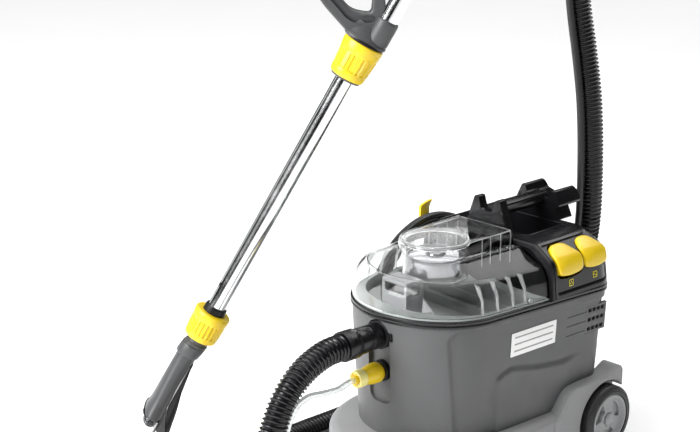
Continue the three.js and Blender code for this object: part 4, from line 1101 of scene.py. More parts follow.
for side, word in ((-1, "near"), (1, "far")):
    tyre = mesh_object(f"tyre_tread_{word}", tyre_shape(side), TYRE_RUBBER, 26)
    finished(tyre, f"{word}_wheel", "tyre_rubber", f"tyre_{word}")
    hub_piece(side, word, f"{word}_wheel")

    centre_y = side * 75.0
    fork = mesh_object(f"caster_yoke_{word}", merged(
        lathe([(0, 54), (5, 54), (5, 91), (4, 92), (0, 92)], "z", (-140, centre_y, 0), 28),
        prism(rounded(rectangle(-152, centre_y - 15, -116, centre_y + 15), 8), 52, 60, "xy")), SATIN_BLACK)
    cheek = rounded([(-152, 56), (-136, 24), (-133, 12), (-119, 12), (-116, 30), (-116, 56)],
                    [2, 8, 7, 7, 8, 2], 5)
    carved(fork, prism(cheek, centre_y + 10.5, centre_y + 15), prism(cheek, centre_y - 15, centre_y - 10.5),
           operation="UNION")
    carved(fork, rod(3.3, -20, 20, "y", (-126, centre_y, 20), 20))
    bevelled(fork, 0.7, 2)
    finished(fork, f"{word}_caster", "black_satin", f"caster_fork_{word}")
    roller = [(0, -15), (2.6, -15), (3, -14.6), (3, -9.6), (8, -9.0), (12, -8.2), (16.5, -8.8), (18.8, -7.6),
              (19.8, -5.5), (20, -3), (20, 3), (19.8, 5.5), (18.8, 7.6), (16.5, 8.8), (12, 8.2), (8, 9.0),
              (3, 9.6), (3, 14.6), (2.6, 15), (0, 15)]
    piece_of(f"caster_roller_{word}", lathe(roller, "y", (-126, centre_y, 20), 48), TYRE_RUBBER,
             f"{word}_caster_roller", "tyre_rubber", (f"caster_wheel_{word}",))


# ------------------------------------------------------------------ tank, lid and float
def tank_point(spot, inset, nose_inset, rear_x):
    """(x, y) on the front part of the plan, cut straight across at rear_x."""
    kind, t = spot
    if kind == "nose":
        return nose_point(t, inset, nose_inset)
    if kind == "side":
        x = NOSE_AT + (rear_x - NOSE_AT) * t
        return x, half_width(x) - inset
    return rear_x, (half_width(rear_x) - inset) * (1 - t)


TUB_SPOTS = half_plan(40, 12, 0, 3)
TUB_OUTSIDE = [(level(212), 27, 47, 52), (level(213), 25, 45, 54), (level(216), 24, 44, 55),
               (above_rim(4.5), 12, 32, 57), (above_rim(4.5), 3, 3, 58), (above_rim(7.0), 3, 3, 58),
               (above_rim(7.3), 3.4, 3.4, 57.6)]
TUB_INSIDE = [(level(217), 30, 50, 48), (level(221), 27, 47, 51.5), (above_rim(4.5), 15, 35, 54),
              (above_rim(12), 13.6, 33.6, 55)]
tub = mesh_object("dirty_water_tub", loft(rings_at(TUB_OUTSIDE, TUB_SPOTS, tank_point)), TANK_TINT_AND_SHADE)
carved(tub, loft(rings_at(TUB_INSIDE, TUB_SPOTS, tank_point)),
       rod(19, -190, -130, "x", PORT_CENTRE, 40))
finished(tub, "dirty_tank", "tank_white", "dirty_water_tank")
baffles = []
for x, half in ((-20, 96), (22, 100)):
    outline = rounded([(-half + 6, 217), (half - 6, 217), (half, 262), (-half, 262)], 12, 5)
    baffles.append(prism(outline, x, x + 2.4, "yz"))
piece_of("tub_baffles", merged(*baffles), TANK_TINT_AND_SHADE, "dirty_tank", "tank_white", bevel=0.6)

DUCT = rounded([(-144, 247), (-119, 247), (-112, 322), (-112, 345.6), (-150, 345.6), (-150, 290)],
               [3, 3, 8, 3, 4, 8], 5)
duct = mesh_object("inlet_duct_hood", prism(DUCT, -26, 26), DUCT_GREY)
DUCT_INSIDE = [(-170, 254), (-124, 254), (-118, 314), (-90, 314), (-90, 332), (-116, 341), (-146, 341),
               (-146, 292), (-170, 288)]
carved(duct, prism(DUCT_INSIDE, -21, 21))
carved(duct, prism(rounded(rectangle(-21, 326, 21, 340), 3), -160, -140, "yz"))
carved(duct, prism(rounded(rectangle(-141, 322, -119, 337), 3), -40, -15))
bevelled(duct, 1.0, 2)
finished(duct, "dirty_tank", "duct_grey", "inlet_duct")
# A black sheet across the duct just behind its openings: painted shade for the dark inside of the duct, not a
# lining.
piece_of("duct_painted_shade_card", block((-139, -20.6, 300), (-138, 20.6, 340)), SATIN_BLACK, "dirty_tank",
         "black_satin")

LID_SKIN = [(3.0, 7.6), (3.1, 12.0), (3.9, 22.0), (5.4, 33.0), (8.2, 43.0), (12.6, 51.0), (17.4, 55.8),
            (20.4, 57.6), (22.6, 58.6), (25.0, 60.2), (40.0, 67.6), (56.0, 75.0), (61.0, 77.6), (66.0, 79.6),
            (72.0, 81.0)]


def tower_arc(radius, z):
    """The round front of the tower over the float, as (x, y, z) points."""
    angles = [math.radians(90 + 180 * i / 48) for i in range(49)]
    return [(FLOAT_CENTRE[0] + radius * math.cos(a), radius * math.sin(a), z) for a in angles]


def lid_body(wall):
    """The dome, the drafted tower over the float and the bridge behind it, as one closed shape each."""
    spots = half_plan(64, 30, 0, 10)
    skin = LID_SKIN if wall == 0 else [(3.0, -2.0)] + LID_SKIN
    levels = []
    for inset, above in skin:
        drop = wall if above > 60 else 0.0
        nose = inset + wall + 3.5 * smooth_step((above - 30.0) / 30.0) * (inset < 50)
        levels.append((above_rim(above - drop), inset + wall, nose, LID_END - wall))
    dome = loft(rings_at(levels, spots, tank_point))
    rings = []
    for z, radius in ((330, 64.5), (352, 63), (385, 59.2), (392, 58.4), (395, 57.4), (396.6, 55.6),
                      (397, 53.5)):
        r = radius - wall
        height = z if z < 340 else z - wall
        ring = tower_arc(r, height)
        back = LID_END - wall - (58.4 - min(58.4, radius)) * 0.5
        ring += [(back, -min(r, 60 - wall), height), (back, min(r, 60 - wall), height)]
        rings.append(ring)
    return dome, loft(rings)


lid_dome, lid_tower = lid_body(0.0)
dome_inside, tower_inside = lid_body(2.6)
lid = mesh_object("clear_lid", lid_dome, CLEAR)
carved(lid, lid_tower, operation="UNION")
hollow = mesh_object("lid_hollow", dome_inside, CLEAR)
carved(hollow, tower_inside, operation="UNION")
cut_with(lid, hollow)
soften(lid, 30)
RIB_PLACES = (-86, -53, -19, 8)
RIB_SECTION = [(6.4, 9), (8.6, 33), (17, 52), (26, 52), (13, 30), (10, 9)]
ribs = []
for x in RIB_PLACES:
    for side in (-1, 1):
        corners = [(side * (half_width(x) - inset), rim(x) + up) for inset, up in RIB_SECTION]
        ribs.append(prism(corners, x - 0.9, x + 0.9, "yz"))
finished(lid, "lid", "clear_plastic", "tank_lid")
# The ribs are real parts; their frosted finish paints highlight lines on them.
piece_of("lid_stiffening_ribs", merged(*ribs), CLEAR_PAINTED_HIGHLIGHT, "lid", "clear_plastic")
CATCH_AT = 14
CATCH = [(8, 8.2), (21, 8.2), (20, 16), (9, 16)]
clips = []
for side in (-1, 1):
    faces = sorted(side * (half_width(CATCH_AT) - inset) for inset in (3.6, 0.6))
    clips.append(prism(rounded([(x, rim(CATCH_AT) + up) for x, up in CATCH], 2), *faces))
piece_of("lid_catches", merged(*clips), CLEAR, "lid", "clear_plastic", bevel=0.6)

chamber = [(49.5, 336), (52, 336), (52, 388), (53.6, 389.4), (53.6, 392.6), (52.6, 393.6), (50.2, 393.6),
           (49.5, 392.6)]
piece_of("float_chamber_tube", lathe(chamber, "z", FLOAT_CENTRE, 96, closed=True), CLEAR, "lid",
         "clear_plastic", ("float_chamber",))
cup = [(0, 338), (44, 338), (46.4, 338.8), (47.4, 340.6), (48, 345), (48, 366), (47.4, 368.4), (46.2, 369.4),
       (44.6, 369.6), (43.6, 368.8), (43.0, 366.4), (0, 366.4)]
piece_of("float_cup_shell", lathe(cup, "z", FLOAT_CENTRE, 96), FLOAT_METAL, "float", "float_metal",
         ("float_cup",))
valve = [(0, 366.6), (42.6, 366.6), (42.6, 368.2), (40, 369), (16, 369.4), (14.6, 370.4), (14, 372),
         (12.6, 373.2), (10, 373.4), (9, 372.4), (8.6, 370.6), (0, 370.2)]
piece_of("float_cap_disc", lathe(valve, "z", FLOAT_CENTRE, 72), FLOAT_METAL, "float", "float_metal")


def bead(path, radius):
    """A thin closed rib along a level outline, used on the lid to carry a painted highlight line."""
    rings = []
    for i, here in enumerate(path):
        along = (Vector(path[(i + 1) % len(path)]) - Vector(path[i - 1])).normalized()
        out = Vector((along.y, -along.x, 0))
        rings.append([Vector(here) + out * radius * math.cos(a) + Vector((0, 0, radius * math.sin(a)))
                      for a in (2 * math.pi * k / 8 for k in range(8))])
    return loft(rings, False, True)


# Frosted beads round the tower's top, the float rim and its foot, and thin bars down the tower's sides:
# painted highlight lines, not parts of the lid.
TOWER_TOP = 395.5
TOWER_SIDE = [(-20, 56), (20, 56.6), (54, 56.8), (54.6, 56)]
tower_edge = tower_arc(55.2, TOWER_TOP) + [(x, -y, TOWER_TOP) for x, y in TOWER_SIDE]
tower_edge += [(x, y, TOWER_TOP) for x, y in reversed(TOWER_SIDE)]
float_edge = [(-58 + 50.8 * math.cos(2 * math.pi * i / 72), 50.8 * math.sin(2 * math.pi * i / 72), 391.6)
              for i in range(72)]
foot_edge = [(x, y, 337.4) for x, y, _ in float_edge]
corners = [block((53.6, side * 56.6 - 0.7, 342), (55.0, side * 56.6 + 0.7, 395.5)) for side in (-1, 1)]
corners += [block((x - 0.6, side * 57.2 - 0.6, 350), (x + 0.6, side * 57.2 + 0.6, 395)) for side in (-1, 1)
            for x in (-14, 6, 30)]
beads = merged(bead(tower_edge, 0.8), bead(float_edge, 0.7), bead(foot_edge, 0.7), *corners)
piece_of("lid_painted_highlight_beads", beads, CLEAR_PAINTED_HIGHLIGHT, "lid", "clear_plastic", smooth=40)


# ------------------------------------------------------------------ rear cover and its panel
COVER_LEVELS = [(0.0, 0.0, None), (3.0, 4.0, 330.0), (5.6, 6.2, 343.0), (7.6, 7.8, 350.5), (9.6, 9.4, 355.4),
                (13.0, 11.6, 359.4), (20.0, 15.4, 364.8), (32.0, 21.0, 373.0), (40.0, 24.6, 378.3),
                (43.4, 26.4, 380.2), (47.0, 29.0, 381.0)]
COVER_LOW = 4.3
COVER_HALF = 146.0
COVER_FRONT = 66.0
section = [(COVER_HALF - inset, rim(105) + COVER_LOW if z is None else z) for inset, _, z in COVER_LEVELS]
section_at = lengths([Vector((y, z, 0)) for y, z in section])


def cover_level(s):
    """(inset, rear inset, z) a distance s up the side of the cover."""
    inset = np.interp(s, section_at, [item[0] for item in COVER_LEVELS])
    rear = np.interp(s, section_at, [item[1] for item in COVER_LEVELS])
    z = np.interp(s, section_at, [item[1] for item in section])
    return float(inset), float(rear), float(z)


def on_section(s, height):
    """(y, z) on the near side of the cover, height millimetres out of it."""
    def plain(at):
        inset, _, z = cover_level(min(max(at, 0.0), section_at[-1]))
        return Vector((-(COVER_HALF - inset), z))
    along = plain(s + 6) - plain(s - 6)
    if along.length < 1e-6:
        along = Vector((0, 1))
    along.normalize()
    here = plain(s)
    return here.x - along.y * height, here.y + along.x * height


PANEL = (70.0, 203.0, 7.0, 96.0)


def panel_depth(x, s):
    """How deep the switch panel is let into the cover at x and a distance s up its side."""
    front = corner_distance(x - PANEL[0], s - PANEL[2], 5.0)
    back = corner_distance(PANEL[1] - x, PANEL[3] - s, 5.0)
    return 2.4 * smooth_step(min(front, back) / 2.6)


COVER_SPOTS = [("front", i / 4) for i in range(4)] + [("side", i / 50) for i in range(50)]
COVER_SPOTS += [("corner", math.pi / 2 * i / 20) for i in range(20)] + [("rear", i / 6) for i in range(7)]


def cover_point(spot, inset, rear_inset):
    kind, t = spot
    side = COVER_HALF - inset
    corner = max(12.0, REAR_CORNER - rear_inset / 2)
    centre_x = REAR_AT - rear_inset - corner
    if kind == "front":
        return COVER_FRONT, side * t
    if kind == "side":
        return COVER_FRONT + (centre_x - COVER_FRONT) * t, side
    if kind == "corner":
        return centre_x + corner * math.sin(t), side - corner + corner * math.cos(t)
    return REAR_AT - rear_inset, (side - corner) * (1 - t)


def cover_ring(s):
    """The cover's outline a distance s up its side, with the switch panel let into the near side."""
    inset, rear_inset, z = cover_level(s)

    def at(spot, near):
        x, y = cover_point(spot, inset, rear_inset)
        depth = panel_depth(x, s) if near and spot[0] in ("side", "corner") and y > 60 else 0.0
        if depth:
            x, y = cover_point(spot, inset + depth * 0.86, rear_inset + depth * 0.86)
        # the foot follows the sloping parting line, the upper part stays level
        lift = (rim(x) - rim(105)) * max(0.0, 1 - s / 30.0)
        return x, y, z + lift - depth * 0.4 * (s > 60)
    near = [at(spot, True) for spot in COVER_SPOTS]
    far = [at(spot, False) for spot in COVER_SPOTS]
    return [(x, -y, h) for x, y, h in near] + far[::-1][1:-1]


COVER_ROWS = 52
cover = mesh_object("rear_cover_shell", loft([cover_ring(section_at[-1] * r / COVER_ROWS)
                                              for r in range(COVER_ROWS + 1)]), GLOSS_BLACK, 26)
cover_inside = []
for s in (-8.0, 30.0, 56.0, 94.0):
    inset, rear_inset, z = cover_level(max(s, 0.0))
    ring = [cover_point(spot, inset + 6, rear_inset + 6) for spot in COVER_SPOTS]
    top = z - 5 if s > 50 else z - 6 if s < 0 else z
    cover_inside.append([(max(x, 71.5), -y, top) for x, y in ring]
                        + [(max(x, 71.5), y, top) for x, y in list(reversed(ring))[1:-1]])
inside_tool = mesh_object("cover_inside", loft(cover_inside), GLOSS_BLACK)
tray = pillow(rounded(rectangle(85, -65, 183, 65), 12), 420, 336.5, 2.0, "xy")
carved(inside_tool, tray)


def mapped_outline(outline, heights):
    """Rings of an outline given in (x, distance up the section); heights are (height, inset)."""
    rings = []
    for height, inset in heights:
        rings.append([(x, *on_section(s, height)) for x, s in inset_outline(outline, inset)])
    return rings


def pad_outline(x0, x1, below=0.0, above=0.0):
    low, high = 36.5 - below, 92.0 + above
    outline = [(x0 + 1, low + 1), ((x0 + x1) / 2, low - 3.5), (x1 - 1, low + 1), (x1, high - 31),
               (x1 - 22, high), (x0 + 8, high - 1), (x0, high - 18)]
    return rounded(outline, [9, 60, 9, 9, 12, 22, 18], 7)


PADS = {"suction": (75.0, 136.4), "spray": (140.6, 197.0)}
cut_with(cover, inside_tool)
soften(cover, 26)


def pad_solids(below, above, heights):
    """A solid round each push pad's outline, grown a little; heights are (height, inset)."""
    return [loft(mapped_outline(pad_outline(x0, x1, below, above), heights)) for x0, x1 in PADS.values()]


carved(cover, *pad_solids(3.6, 1.8, [(-15.0, -4.4), (-4.5, -4.4)]), operation="UNION")
carved(cover, *pad_solids(3.2, 1.8, [(-12.0, -1.6), (-3.4, -1.6), (-2.2, -2.4), (14, -2.4)]))
carved(cover, pillow(rounded(rectangle(88, -62, 180, 62), 10), 420, 340.0, 4.0, "xy"),
       rod(5.3, 120, 170, "y", HOOK_CENTRE, 24))
soften(cover, 26)
finished(cover, "machine", "black_gloss", "rear_cover")
piece_of("handle_tray_lip", loft([[(x, y, z) for x, y in inset_outline(
    rounded(rectangle(84, -66, 184, 66), 13), inset)]
    for inset, z in ((0, 380.6), (0, 382.0), (0.8, 382.8), (3.0, 382.8), (3.8, 382.0), (3.8, 380.6))],
    False, True), GLOSS_BLACK, "machine", "black_gloss")
strip_rings = []
for x, drop in ((59.4, 1.8), (61.2, 0.5), (64.6, 0.5), (65.7, 1.6)):
    ring = []
    for s in [section_at[-1] * k / 24 for k in range(25)]:
        inset, _, z = cover_level(s)
        ring.append((x, -(COVER_HALF - inset - drop), z - (drop if s > 60 else 0)))
    ring += [(x, -y, z) for _, y, z in reversed(ring)]
    inner = [(x, y * 0.93, z - 6) for _, y, z in reversed(ring)]
    strip_rings.append(ring + inner)
piece_of("lid_joint_strip", loft(strip_rings), SATIN_BLACK, "machine", "black_satin")

for name, (x0, x1) in PADS.items():
    outline = pad_outline(x0, x1)
    rings = mapped_outline(outline, [(-7.5, 0.0), (0.4, 0.0), (1.8, 0.4), (2.9, 1.4), (3.5, 2.8)])
    edge = inset_outline(outline, 2.8)
    middle_x, middle_s = (x0 + x1) / 2, 66.0
    crown = []
    for share, height in ((0.9, 4.1), (0.75, 4.5), (0.5, 4.9), (0.25, 5.1), (0.06, 5.1)):
        scaled = [(middle_x + (x - middle_x) * share, middle_s + (s - middle_s) * share) for x, s in edge]
        crown.append([(x, *on_section(s, height)) for x, s in scaled])
    pad = mesh_object(f"{name}_push_pad", loft(rings + crown), YELLOW, 40)
    finished(pad, f"{name}_button", "yellow", f"{name}_switch")


def on_panel(outline, depth, thick):
    return loft([[(x, *on_section(s, depth + h)) for x, s in outline] for h in (0.0, thick)])


ICON_LEVEL = -1.9


def icon_frame(x, s, half):
    bars = []
    for dx, ds, w, h in ((0, half, half, 0.45), (0, -half, half, 0.45), (half, 0, 0.45, half),
                         (-half, 0, 0.45, half)):
        bars.append(on_panel(rectangle(x + dx - w, s + ds - h, x + dx + w, s + ds + h), ICON_LEVEL, 0.5))
    return bars


icons = icon_frame(106, 20.5, 5.0) + icon_frame(167, 20.5, 4.6)
fan = [on_panel(rounded([(106 + 0.6 * math.cos(a) - 0.2 * math.sin(a), 20.5 + 0.6 * math.sin(a)),
                         (106 + 3.4 * math.cos(a - 0.3), 20.5 + 3.4 * math.sin(a - 0.3)),
                         (106 + 3.4 * math.cos(a + 0.4), 20.5 + 3.4 * math.sin(a + 0.4))], 0.5, 3),
                ICON_LEVEL, 0.5)
       for a in (math.radians(90 + 120 * k) for k in range(3))]
drops = [on_panel([(167 - 2.6 + dx + 0.8 * math.cos(a) * (1 if math.sin(a) < 0 else 0.55),
                    20.5 + ds + 1.0 * math.sin(a) * (1 if math.sin(a) < 0 else 1.7)) for a in
                   (2 * math.pi * k / 16 for k in range(16))], ICON_LEVEL, 0.5)
         for dx, ds in ((0.6, 1.2), (2.9, -0.2), (5.0, -1.9))]
piece_of("switch_symbols", merged(*icons, *fan, *drops), ICON_YELLOW, "machine", "yellow")

# ------------------------------------------------------------------ carrying handle
FORK = rounded([(-46, 381.2), (46, 381.2), (26.5, 436.5), (18.5, 436.5), (11.5, 415), (-11.5, 415),
                (-18.5, 436.5), (-26.5, 436.5)], [3, 3, 2.4, 2.4, 6, 6, 2.4, 2.4], 5)
FRONT_POST = rounded([(-24, 381.2), (24, 381.2), (13, 402), (13, 421), (-13, 421), (-13, 402)],
                     [3, 3, 10, 5, 5, 10])
REAR_POST = rounded([(-46, 381.2), (46, 381.2), (35, 404), (30, 416), (-30, 416), (-35, 404)],
                    [4, 4, 12, 5, 5, 12], 6)
handle = mesh_object("carry_handle_frame", prism(FORK, 60.6, 77, "yz"), GLOSS_BLACK)
carved(handle, prism(FRONT_POST, 74, 88, "yz"), prism(REAR_POST, 189, 226, "yz"), operation="UNION")
BAR_SECTION = rounded([(-12.5, 403), (12.5, 403), (12.5, 421), (7.5, 424), (3.4, 424), (3.0, 421.4),
                       (-3.0, 421.4), (-3.4, 424), (-7.5, 424), (-12.5, 421)],
                      [7, 7, 3, 3, 1, 1.2, 1.2, 1, 3, 3], 4)
carved(handle, prism(BAR_SECTION, 70, 200, "yz"), operation="UNION")
WING = [(2, 399), (36, 400), (47, 406), (35, 431), (28, 430), (25, 417), (2, 411)]
for side in (-1, 1):
    outline = rounded([(side * y, z) for y, z in WING], [1, 8, 5, 5, 3, 9, 1], 5)
    carved(handle, prism(outline, 190, 246, "yz"), operation="UNION")
carved(handle, prism([(186, 424), (186, 450), (210, 450)], -60, 60),
       prism([(250, 416), (250, 450), (226, 450)], -60, 60))
bevelled(handle, 1.3, 3, 32)
finished(handle, "machine", "black_gloss", "carry_handle")

hook = mesh_object("cable_hook_turning", merged(
    lathe([(0, 126), (5, 126), (5, 146), (6.7, 147), (6.7, 194), (0, 194)], "y", HOOK_CENTRE, 36)), YELLOW)
HOOK_LIP = rounded([(108, 323), (128, 323), (130, 371), (138, 380), (127, 379), (108, 374)],
                   [9, 9, 6, 1.5, 5, 6], 6)
carved(hook, pillow(HOOK_LIP, 192.5, 198, 1.0), operation="UNION")
carved(hook, prism(rounded([(114, 342), (122, 342), (123, 364), (114, 362)], 3), 196.6, 200))
bevelled(hook, 0.5, 2)
finished(hook, "upper_hook", "yellow", "cable_hook")
lower = mesh_object("lower_hook_moulded", merged(
    lathe([(0, 136.5), (5, 136.5), (5, 152.5), (7, 152.5), (7, 194), (0, 194)], "y", LOWER_HOOK_CENTRE, 36)),
                    SATIN_BLACK)
carved(lower, pillow(rounded(rectangle(109, 82, 127, 119), 6), 193, 198, 1.0), operation="UNION")
bevelled(lower, 0.5, 2)
finished(lower, "machine", "black_satin", "lower_cable_hook")

# ------------------------------------------------------------------ front connections and label
port = [(18.2, -186), (21.6, -186), (22.6, -185.4), (22.9, -184), (22.9, -172.3), (22, -172.3), (22, -157.5),
        (18.2, -157.5)]
piece_of("suction_port_ring", lathe(port, "x", PORT_CENTRE, 72, closed=True), SATIN_BLACK, "machine",
         "black_satin", ("suction_port",))
cuff = [(14, -160), (17.5, -160), (17.5, -186.8), (19.8, -187.2), (20.4, -188.4), (20.4, -208.6),
        (19.8, -209.2), (19.8, -210.2), (20.5, -210.8), (21.2, -233), (21.0, -234.2), (22.6, -235.2),
        (23.5, -237), (23.5, -248.6), (23.0, -249.2), (23.0, -250.2), (23.5, -250.8), (23.5, -261),
        (23.0, -261.9), (21.4, -262), (21.4, -255), (14, -254)]
piece_of("suction_cuff_sleeve", lathe(cuff, "x", PORT_CENTRE, 80, closed=True), HOSE_BLACK, "inlet_cuff",
         "black_satin", ("suction_cuff",))
latch = [block((-186.6, -30, 262 + 3.2 * k), (-173.4, -23.4, 264.2 + 3.2 * k)) for k in range(4)]
latch.append(block((-185.4, -29, 261.4), (-174.2, -22.6, 275)))
piece_of("cuff_latch", merged(*latch), SATIN_BLACK, "machine", "black_satin", bevel=0.5)

socket = [(6.5, -182), (13, -182), (16.6, -180.6), (17.2, -179), (17.2, -173.2), (16.4, -172.3),
          (12, -172.3), (12, -153), (6.5, -153)]
piece_of("coupling_seat", lathe(socket, "x", COUPLING_CENTRE, 56, closed=True), SATIN_BLACK, "machine",
         "black_satin", ("coupling_socket",))
sleeve = [(6.3, -182.6), (12.6, -182.6), (14.4, -183.2), (15.6, -185.4), (16.4, -190), (16.3, -197),
          (15.2, -205), (13.4, -212), (12.4, -216.6), (6.3, -216.6)]
piece_of("coupling_egg", lathe(sleeve, "x", COUPLING_CENTRE, 64, closed=True), YELLOW, "quick_coupling",
         "yellow", ("coupling_sleeve",))
collar = [(6.4, -217), (12.8, -217), (13.7, -218), (13.9, -220), (13.9, -230), (13.2, -232.4),
          (11.6, -233.2), (10.6, -232.6), (10.2, -230), (6.4, -229.4)]
piece_of("coupling_collar", lathe(collar, "x", COUPLING_CENTRE, 64, closed=True), PALE_YELLOW,
         "quick_coupling", "yellow")
nut_outline = [(7.6 * math.cos(math.radians(60 * k)), 205 + 7.6 * math.sin(math.radians(60 * k)))
               for k in range(6)]
piece_of("coupling_nut", prism(nut_outline, -236, -226, "yz"), YELLOW, "quick_coupling", "yellow", bevel=0.6)

label_frame = turned_to_wall(32, wall_out(32, 239), 239)


def plate(half_x, half_z, out0, out1, radius=2.0, middle_z=0.0):
    return prism(rounded(rectangle(-half_x, middle_z - half_z, half_x, middle_z + half_z), radius, 4), -out1,
                 -out0)


piece_of("label_card", plate(51.4, 20.0, -0.6, 0.9), LABEL_WHITE, "machine", "white_label", ("label_plate",),
                 local=label_frame, bevel=0.2)
piece_of("label_edge", plate(52, 20.6, -0.7, 0.5, 2.4), SATIN_BLACK, "machine", "black_satin",
         local=label_frame)
label_lines = [plate(44, 1.3, 0.8, 1.1, 0.5, height) for height in (11.5, 0.0, -11.5)]
piece_of("label_lines", merged(*label_lines), LABEL_GREY, "machine", "white_label", local=label_frame)


# ------------------------------------------------------------------ wand
# Shapes are in the wand's own millimetres: Z along the tube, X towards the machine, Y across.
TILT = math.radians(29.0)
WAND = Matrix((
    (math.cos(TILT) * math.cos(HEADING), math.sin(HEADING), math.sin(TILT) * math.cos(HEADING), -441.6),
    (-math.cos(TILT) * math.sin(HEADING), math.cos(HEADING), -math.sin(TILT) * math.sin(HEADING), 329.5),
    (-math.sin(TILT), 0.0, math.cos(TILT), 0.0), (0, 0, 0, 1)))


def wand_ring(s, middle, half_x, half_y, skew=0.0, count=64, power=0.75):
    ring = []
    for i in range(count):
        a = 2 * math.pi * i / count
        c, q = math.cos(a), math.sin(a)
        x = middle + half_x * math.copysign(abs(c) ** power, c)
        ring.append((x, half_y * math.copysign(abs(q) ** power, q), s + skew * x * math.tan(TILT)))
    return ring


def wand_piece(name, shape, material, slot, nodes=(), body="wand", bevel=0.0, smooth=32.0, segments=3):
    return piece_of(name, shape, material, body, slot, nodes, WAND, bevel, smooth, segments)


def smooth_rings(levels, per_span, **options):
    """Rings between the given levels, with every value on a smooth curve."""
    rows = spline([Vector(item[:3]) for item in levels], per_span)
    halves = spline([Vector((item[0], item[3], item[4] if len(item) > 4 else 0.0)) for item in levels],
                    per_span)
    return [wand_ring(a.x, a.y, a.z, b.y, b.z, **options) for a, b in zip(rows, halves)]


head_levels = [(0, 0, 10, 115, 1.0), (22, -2, 12, 112, 0.6), (60, -6, 15, 80, 0.2),
               (95, -6.6, 17.4, 56, 0.0), (127, -6.4, 18.2, 45, 0.0)]
head_inside = [(-10, 0, 7.4, 112, 1.0), (22, -2, 9.4, 109, 0.6), (60, -6, 12.4, 77, 0.2),
               (95, -6.6, 14.8, 53, 0.0), (134, -6.4, 15.6, 42, 0.0)]
head = mesh_object("floor_head_shell", loft(smooth_rings(head_levels, 10, count=96)), CLEAR, local=WAND)
carved(head, loft(smooth_rings(head_inside, 10, count=96)), local=WAND)
finished(head, "wand", "clear_plastic", "floor_head")
vanes = [prism([(-8, 30), (5, 30), (3, 74), (-12, 74)], y - 0.9, y + 0.9) for y in (-52, -26, 26, 52)]
wand_piece("floor_head_vanes", merged(*vanes), CLEAR, "clear_plastic")
seal_rings = [wand_ring(s, -6.2, 14.7 + grow, 41.6 + grow, count=72) for s, grow in
              ((119.4, -1.2), (118.4, -0.4), (118.9, 0.35), (120.8, 0.5), (122.7, 0.35), (123.2, -0.4),
               (122.4, -1.2))]
wand_piece("floor_head_seal", loft(seal_rings, False, True), SEAL_RUBBER, "black_rubber")
LIP = rectangle(-110, 0.5, 110, 6)
lips = [loft([[(a, y, a * math.tan(TILT) + z) for y, z in LIP] for a in (x - 1.6, x + 1.6)])
        for x in (-8.6, 8.6)]
wand_piece("floor_head_lips", merged(*lips), SATIN_BLACK, "black_satin", bevel=0.5)

neck_levels = [(114, -6, 14.2, 41), (126.6, -6, 14.6, 41), (127.4, -6, 16.4, 42.6), (150, -6, 15.4, 34),
               (190, -6, 15.0, 26), (225, -5, 15.6, 20.5), (246, -3, 17.4, 19), (257, -1, 18.6, 19.2),
               (262, -0.4, 18.8, 19.2)]
neck = mesh_object("wand_neck", loft(smooth_rings(neck_levels, 10, count=72, power=0.9)), WAND_GREY, 34,
                   WAND)
socket_profile = [(0, 250), (15, 250), (18.9, 262), (18.9, 263), (18.2, 264), (17.0, 265), (16.6, 266.5),
                  (16.6, 281), (17.0, 282), (24, 283.2), (24, 317.6), (23.4, 318.6), (0, 318.6)]
carved(neck, lathe(socket_profile, "z", (0, 0, 0), 64), operation="UNION", local=WAND)
TONGUE = rounded([(2, 152), (9.2, 139), (25.8, 103.4), (26.2, 88), (20, 87), (9.6, 104), (8.2, 119.2),
                  (2, 121)],
                 [2, 8, 3, 3, 3, 6, 2, 1], 5)
carved(neck, prism(TONGUE, -13, 13), operation="UNION", local=WAND)
carved(neck, loft([wand_ring(*item) for item in ((110, -6, 11, 38), (150, -6, 10, 28), (225, -6, 10, 15),
                                                 (268, 0, 10, 11))]),
       lathe([(0, 255), (10, 255), (10, 291), (14.8, 291), (14.8, 340), (0, 340)], "z", (0, 0, 0), 48),
       rod(4.3, 282, 340, "z", SPRAY_TUBE_AXIS, 20), local=WAND)
soften(neck, 34)
finished(neck, "wand", "wand_grey", "nozzle_neck")
step = [wand_ring(s, -3.4 + (s - 246) * 0.16, 18.6 + grow, 20.2 + grow, count=72, power=0.95)
        for s, grow in ((238, -1.4), (239, 0.2), (240, 0.7), (257, 1.1), (258.4, 0.6), (259, -1.2))]
wand_piece("neck_step_ring", loft(step), WAND_GREY, "wand_grey")

CARRIER = rounded([(10.5, 228), (12.6, 228), (13.4, 207), (17.2, 180), (25.8, 146), (32, 106), (39, 78),
                   (40, 66), (26, 63.8), (27.4, 90), (27.2, 103.8), (10.5, 138.6)],
                  [0.6, 1, 6, 12, 16, 16, 6, 2, 2, 6, 8, 6], 4)
carrier = mesh_object("spray_carrier_arm", pillow(CARRIER, -8.6, 10, 1.2, bottom_edge=1.2), SATIN_BLACK,
                      local=WAND)
carved(carrier, rod(5.3, 50, 78, "z", NOZZLE_AXIS, 24), local=WAND)
finished(carrier, "wand", "black_satin", "spray_carrier")
tip = [(0, 52), (1.4, 52), (2.2, 53), (5.4, 57.4), (7, 60), (7, 62.6), (6.4, 63.6), (5, 63.6), (5, 76),
       (0, 76)]
wand_piece("spray_nozzle_tip", lathe(tip, "z", NOZZLE_AXIS, 36), YELLOW, "yellow", ("spray_tip",))

